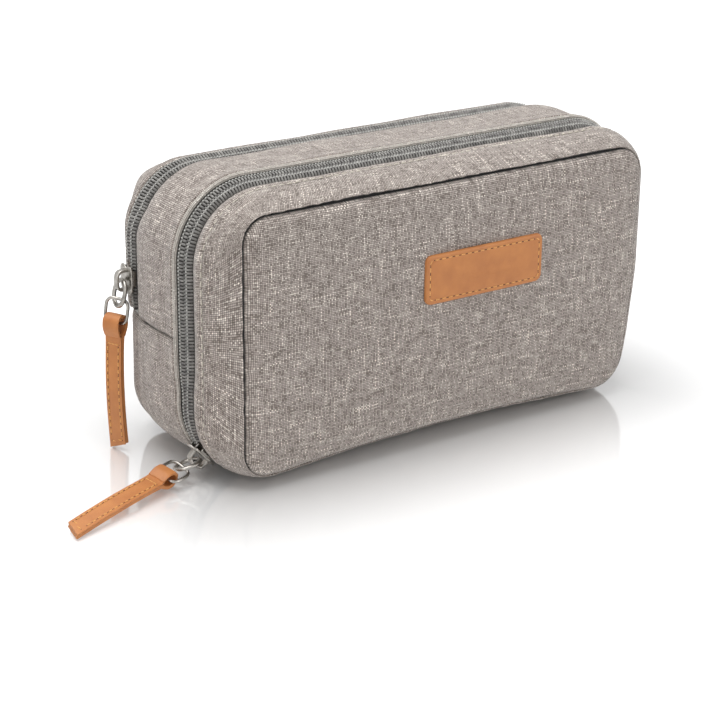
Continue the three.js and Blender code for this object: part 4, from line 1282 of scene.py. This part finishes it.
def pull(name, pivot, directions, crosses, twists, skew, bow):
    """A whole pull, each part hung from the end of the one before."""
    frames = []
    for direction, across, twist, reach in zip(directions, crosses, twists, (LINK_REACH, RING_REACH, 0)):
        frames.append(hung(pivot, direction, across, twist))
        pivot = pivot + direction * reach
    for frame_matrix, part, shape, bm in ((frames[0], "link", "oval", link()),
                                          (frames[1], "ring", "wire", ring())):
        body = f"{name}_{part}"
        moulded(f"{body}_{shape}", bm, frame_matrix, satin_nickel, body, (body,), "nickel")
    body = f"{name}_strap"
    leather = moulded(f"{body}_leather", strap(skew, bow), frames[2], tan_leather, body, (body,), "leather")
    layer = leather.modifiers.new("layer", "SOLIDIFY")
    layer.thickness = STRAP_LAYER * MM
    layer.offset = 0
    edge = leather.modifiers.new("cut_edge", "BEVEL")
    edge.width = CUT_EDGE * MM
    edge.segments = 2
    edge.limit_method = "ANGLE"
    places = strap_stitches(skew, bow)
    for part, bm, material in (("stitches", stitch(STRAP_STITCH, THREAD_THICK), tan_thread),
                               ("holes", awl_holes(STRAP_STITCH), painted_hole_shade)):
        moulded(f"{body}_{part}", many(bm, places), frames[2], material, body, (), "leather")


rear_directions = [Vector((-math.sin(math.radians(lean)), 0, -math.cos(math.radians(lean))))
                   for lean in REAR_LEANS]
pull("rear", rear_frame @ Vector((0, PIVOT_OUT, 0)), rear_directions, [Vector((0, 1, 0))] * 3,
     REAR_TWISTS, 2.4, 1.7)
front_directions, front_crosses = [], []
for yaw, pitch in zip(FRONT_YAWS, FRONT_PITCHES):
    heading, dip = math.radians(yaw), math.radians(pitch)
    level = Vector((-math.cos(heading), -math.sin(heading), 0)) * math.cos(dip)
    front_directions.append(level - Vector((0, 0, math.sin(dip))))
    front_crosses.append(Vector((-math.sin(heading), math.cos(heading), 0)))
pull("front", front_frame @ Vector((0, PIVOT_OUT, 0)), front_directions, front_crosses,
     FRONT_TWISTS, -3.0, 0.9)

# Foam and foil: a layer of closed-cell foam under the cloth and aluminised film on its inner
# face, cut back beside each zip. The foam shows only at its edges when the case is open.
FOAM_SINK, FOAM_WALL = 2.4, 2.5
FOIL_SINK, FOIL_WALL = 5.3, 0.4
PAD_WALL = 2.3
MIDDLE_FRONT, MIDDLE_REAR, BASE_REAR = -9.5, 14.5, 24.0
COVER_REAR, COVER_FRONT = -22.5, -33.0
LAYER_ROWS = 6
COVER_TUCK, BASE_TUCK = (24.0, 14.0), (20.0, 18.0)


def mottled(name, dark, light, scale, relief, rough, metallic=0.0):
    """A finish in two near tones with a fine relief, by place on the object."""
    material, nodes, links, shader = new_finish(name)
    where = nodes.new("ShaderNodeTexCoord").outputs["Object"]
    spots = pattern(nodes, links, "Noise", where,
                    {"Scale": scale, "Detail": 4, "Distortion": 0.6}).outputs["Fac"]
    ramped(nodes, links, spots, (0.32, 0.68), (dark, light), shader)
    bumped(nodes, links, spots, relief * MM, shader, 0.7)
    set_inputs(shader, {"Roughness": rough, "Metallic": metallic})
    return material


cell_foam = mottled("cell_foam", rgb(206, 206, 200), rgb(226, 226, 221), 2200, 0.15, 0.9)
foil = mottled("creased_foil", rgb(176, 180, 184), rgb(216, 219, 222), 130, 0.9, 0.3, 0.85)


def layer_strip(name, from_y, to_y, stops, sink, wall, material, body, node, slot, welded=False):
    """A strip of foam or foil that follows the cloth at a depth, and turns in under the rim."""
    section = []
    for k in range(LAYER_ROWS + 1):
        y = from_y + (to_y - from_y) * k / LAYER_ROWS
        start, reach = COVER_TUCK if y < 0 else BASE_TUCK
        beyond = max(0.0, (abs(y) - start) / reach)
        section.append((y, 0.8 * beyond ** 1.4, bulge(y) * (1 - beyond) - sink))
    laid_round(name, section, stops, material, body, (node,), slot, None, wall, welded, slot == "foam")


FULL_STOPS = walk(FULL_TURN)
for layer, sink, wall, material, slot in [("foam", FOAM_SINK, FOAM_WALL, cell_foam, "foam"),
                                          ("lining", FOIL_SINK, FOIL_WALL, foil, "foil_lining")]:
    for part, ends, stops, body in [("middle", (MIDDLE_FRONT, MIDDLE_REAR), top_stops, "main_case"),
                                    ("base", (MIDDLE_FRONT, BASE_REAR), base_stops, "main_case"),
                                    ("cover", (COVER_REAR, COVER_FRONT), FULL_STOPS, "front_cover")]:
        layer_strip(f"{part}_{layer}_strip", *ends, stops, sink, wall, material, body, f"{part}_{layer}",
                    slot, welded=part == "cover")
front_foam = put("front_panel_foam_pad", panel_mesh(-1, 35.6, 37.6, 1.6, 31, -2.2), cell_foam,
                 "front_cover", towards(-1), PAD_WALL, ("front_panel_foam",), "foam")
put("front_panel_foil", panel_mesh(-1, 33.2, 34.4, 1.4, 33, -2.8), foil,
    "front_cover", towards(-1), FOIL_WALL, ("front_panel_lining",), "foil_lining")
back_foam = put("back_panel_foam_pad", panel_mesh(1, 35.4, 37.2, 1.4, 35, -4.4), cell_foam, None,
                towards(1), PAD_WALL, slot="foam")
back_foil = put("back_panel_foil", panel_mesh(1, 33.4, 34.2, 1.0, 37, -5.0), foil, None,
                towards(1), FOIL_WALL, slot="foil_lining")
for piece, part in [(back_foam, "foam"), (back_foil, "lining")]:
    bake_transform(piece)
    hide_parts(f"back_panel_{part}_lower", f"back_panel_{part}_upper")

# Hinge under the cover: a strip of zip tape sewn to both sides, which on the case bends where
# they meet; here it is laid whole, on no body.
HINGE_HALF, HINGE_SINK, HINGE_ROWS = 10.0, 1.5, 20
hinge_marks = [corner(LEFT_BASE, 255), corner(LEFT_BASE, 270), corner(RIGHT_BASE, 270),
               corner(RIGHT_BASE, 285)]
hinge_section = [(FRONT_ZIP - HINGE_HALF + 2 * HINGE_HALF * k / HINGE_ROWS, 0.0, -HINGE_SINK)
                 for k in range(HINGE_ROWS + 1)]
hinge_web = laid_round("hinge_web", hinge_section, walk(hinge_marks), tape_cloth, None, (), "zip_tape",
                       wall=TAPE_WALL, parts=False)
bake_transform(hinge_web)
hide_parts("hinge_web_body", "hinge_web_cover")

# Divider: a foam board covered in foil, sewn into the lining behind the pens. The cold pack, a
# soft pouch of gel with welded edges, lies behind it.
DIVIDER_FRONT, DIVIDER_BACK, DIVIDER_CROWN = 8.0, 13.0, 0.8
INSIDE_DEPTH = 6.3
MIDDLE_Z = (CASE_HEIGHT + TRACK_LIFT) / 2
GEL_FRONT, GEL_BACK, GEL_LENGTH, GEL_HEIGHT, GEL_RADIUS = 14.1, 23.1, 150.0, 78.0, 12.0
GEL_WELD, GEL_STEP = 3.5, 2.6


def pad_mesh(outline, front_y, back_y, crown, lump, seed):
    """A closed pad: a crowned face, a rounded edge and a crowned back."""
    centre = sum(outline, Vector((0, 0))) / len(outline)
    shares = [0.0, 0.14, 0.28, 0.42, 0.56, 0.68, 0.78, 0.86, 0.92, 0.96, 0.985, 1.0]
    rows = [(share, 0) for share in shares] + [(share, 1) for share in reversed(shares)]

    def place(i, j):
        share, behind = rows[j]
        x, z = centre.lerp(outline[i % len(outline)], share)
        rise = crown * (1 - share ** 5)
        rise += lump * noise.noise(Vector((x / 21, z / 17, seed + behind * 5))) * (1 - share ** 4)
        return Vector((x, back_y - crown + rise if behind else front_y + crown - rise, z))

    bm = laid_cloth(len(outline), len(rows) - 1, place,
                    lambda i, j: tuple(centre.lerp(outline[i % len(outline)], rows[j][0])), welded=True)
    bmesh.ops.recalc_face_normals(bm, faces=bm.faces[:])
    return bm


divider_edge = []
for stop in FULL_STOPS[:-1]:
    x, z = stop_point(stop, 0, SIDE_BULGE - INSIDE_DEPTH)
    divider_edge.append(Vector((x, max(z, INSIDE_DEPTH))))
divider = put("divider_board", pad_mesh(divider_edge, DIVIDER_FRONT - DIVIDER_CROWN,
                                        DIVIDER_BACK + DIVIDER_CROWN, DIVIDER_CROWN, 0.5, 41),
              foil, "main_case", node=("divider",), slot="foil_lining")
gel_edge = [place + Vector((0, MIDDLE_Z)) for place, _ in every(
    rounded_corners(GEL_LENGTH, GEL_HEIGHT, GEL_RADIUS, 6), GEL_STEP)]
gel_film = mottled("gel_film", rgb(132, 178, 208), rgb(172, 208, 230), 90, 0.7, 0.22)
cold_pack = put("cold_pack_pouch", pad_mesh(gel_edge, GEL_FRONT, GEL_BACK, GEL_WELD, 1.0, 43), gel_film,
                "main_case", node=("cold_pack",), slot="gel_film")

# Pen bands: two wide elastics tacked to the divider between the pens, so that each pen slides
# under a low arch. A pocket of net with an elastic hem is sewn inside the cover.
BAND_WIDTH, BAND_X, BAND_RISE, BAND_PITCH, BAND_COUNT = 25.0, 46.0, 2.2, 19.0, 4
BAND_FACE = DIVIDER_FRONT - DIVIDER_CROWN - 0.3
BAND_STEPS, BAND_COLUMNS, BAND_WALL = 12, 10, 0.9
BAND_TACKS, TACK_PITCH = 7, 3.5
elastic = woven("ribbed_elastic", 1.6, 0.05, rgb(40, 40, 42), rgb(58, 58, 61), rgb(80, 80, 84),
                (0.40, 0.60), 0.25, 0.1)


def band(name, centre_x, node):
    """One elastic: an arch for each pen, drawn in a little where it is tacked."""
    def place(i, j):
        along = i / BAND_STEPS
        z = MIDDLE_Z + (along - BAND_COUNT / 2) * BAND_PITCH
        lift = BAND_RISE * abs(math.sin(math.pi * along)) ** 0.8
        narrow = 0.35 * math.exp(-((along - round(along)) / 0.08) ** 2)
        x = centre_x + (j / BAND_COLUMNS - 0.5) * (BAND_WIDTH - 2 * narrow)
        return Vector((x, BAND_FACE - lift, z))

    bm = laid_cloth(BAND_COUNT * BAND_STEPS, BAND_COLUMNS, place,
                    lambda i, j: (i * BAND_PITCH / BAND_STEPS, j * BAND_WIDTH / BAND_COLUMNS))
    put(name, bm, elastic, "main_case", towards(-1), BAND_WALL, (node,), "elastic")
    tacks = []
    for n in range(BAND_COUNT + 1):
        z = MIDDLE_Z + (n - BAND_COUNT / 2) * BAND_PITCH
        for k in range(BAND_TACKS):
            centre = Vector((centre_x + (k - BAND_TACKS // 2) * TACK_PITCH, BAND_FACE - 0.1, z))
            tacks.append(standing(Vector((1, 0, 0)), Vector((0, 0, 1)), Vector((0, -1, 0)), centre))
    put(f"{name}_tacks", many(stitch(2.6, THREAD_THICK), tacks), coil_thread, "main_case", slot="elastic")


band("pen_band_left_strip", -BAND_X, "pen_band_left")
band("pen_band_right_strip", BAND_X, "pen_band_right")


def net_finish():
    """Knitted net: round holes in rows set half a step aside, cut out of the sheet, with painted shade
    darkening the strands towards each hole.
    """
    material, nodes, links, shader = new_finish("knitted_net")
    flat_map = nodes.new("ShaderNodeUVMap")
    flat_map.uv_map = "cloth"
    holes = pattern(nodes, links, "Voronoi", flat_map.outputs[0],
                    {"Scale": 520, "Randomness": 0.12}).outputs["Distance"]
    solid = nodes.new("ShaderNodeMath")
    solid.operation = "GREATER_THAN"
    solid.inputs[1].default_value = 0.36
    links.new(holes, solid.inputs[0])
    links.new(solid.outputs[0], shader.inputs["Alpha"])
    # Painted shade: the strands darken towards the edge of each hole, where they turn down out of the light.
    ramped(nodes, links, holes, (0.0, 1.0), (rgb(58, 60, 63), rgb(96, 98, 102)), shader)
    set_inputs(shader, {"Roughness": 0.8})
    return material


knitted_net = net_finish()


def flat_cloth(name, x_half, low, high, y_at, material, node, body, slot, wall=0.0):
    """An upright piece between two heights, each point at the depth that y_at gives."""
    columns, rows = 60, max(3, round((high - low) / 3))

    def place(i, j):
        x = x_half * (2 * i / columns - 1)
        z = low + (high - low) * j / rows
        return Vector((x, y_at(x, z), z))

    bm = laid_cloth(columns, rows, place, lambda i, j: (2 * x_half * i / columns, (high - low) * j / rows))
    return put(name, bm, material, body, towards(1), wall, (node,), slot)


NET_HALF, NET_LOW, NET_HIGH, NET_Y = 78.0, MIDDLE_Z - 42.0, MIDDLE_Z + 42.0, 23.8
pack_net = flat_cloth("cold_pack_net_sheet", NET_HALF, NET_LOW, NET_HIGH, lambda x, z: NET_Y, knitted_net,
                      "cold_pack_net", "main_case", "net")
POCKET_HALF, POCKET_LOW, POCKET_HIGH, POCKET_HEM = 75.0, MIDDLE_Z - 28.0, MIDDLE_Z + 28.0, 7.0
POCKET_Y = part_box("cover_pocket_net")[1].y / MM
POCKET_SLACK, POCKET_SPAN, HEM_WALL = 0.6, 70.0, 0.8


def pocket_y(x, z):
    upwards = math.sin(math.pi * (z - POCKET_LOW) / POCKET_SPAN)
    return POCKET_Y + POCKET_SLACK * (1 - (x / POCKET_HALF) ** 2) * upwards


pocket = flat_cloth("cover_pocket_net_sheet", POCKET_HALF, POCKET_LOW, POCKET_HIGH - POCKET_HEM, pocket_y,
                    knitted_net, "cover_pocket_net", "front_cover", "net")
flat_cloth("cover_pocket_hem_band", POCKET_HALF, POCKET_HIGH - POCKET_HEM, POCKET_HIGH, pocket_y, elastic,
           "cover_pocket_hem", "front_cover", "elastic", HEM_WALL)
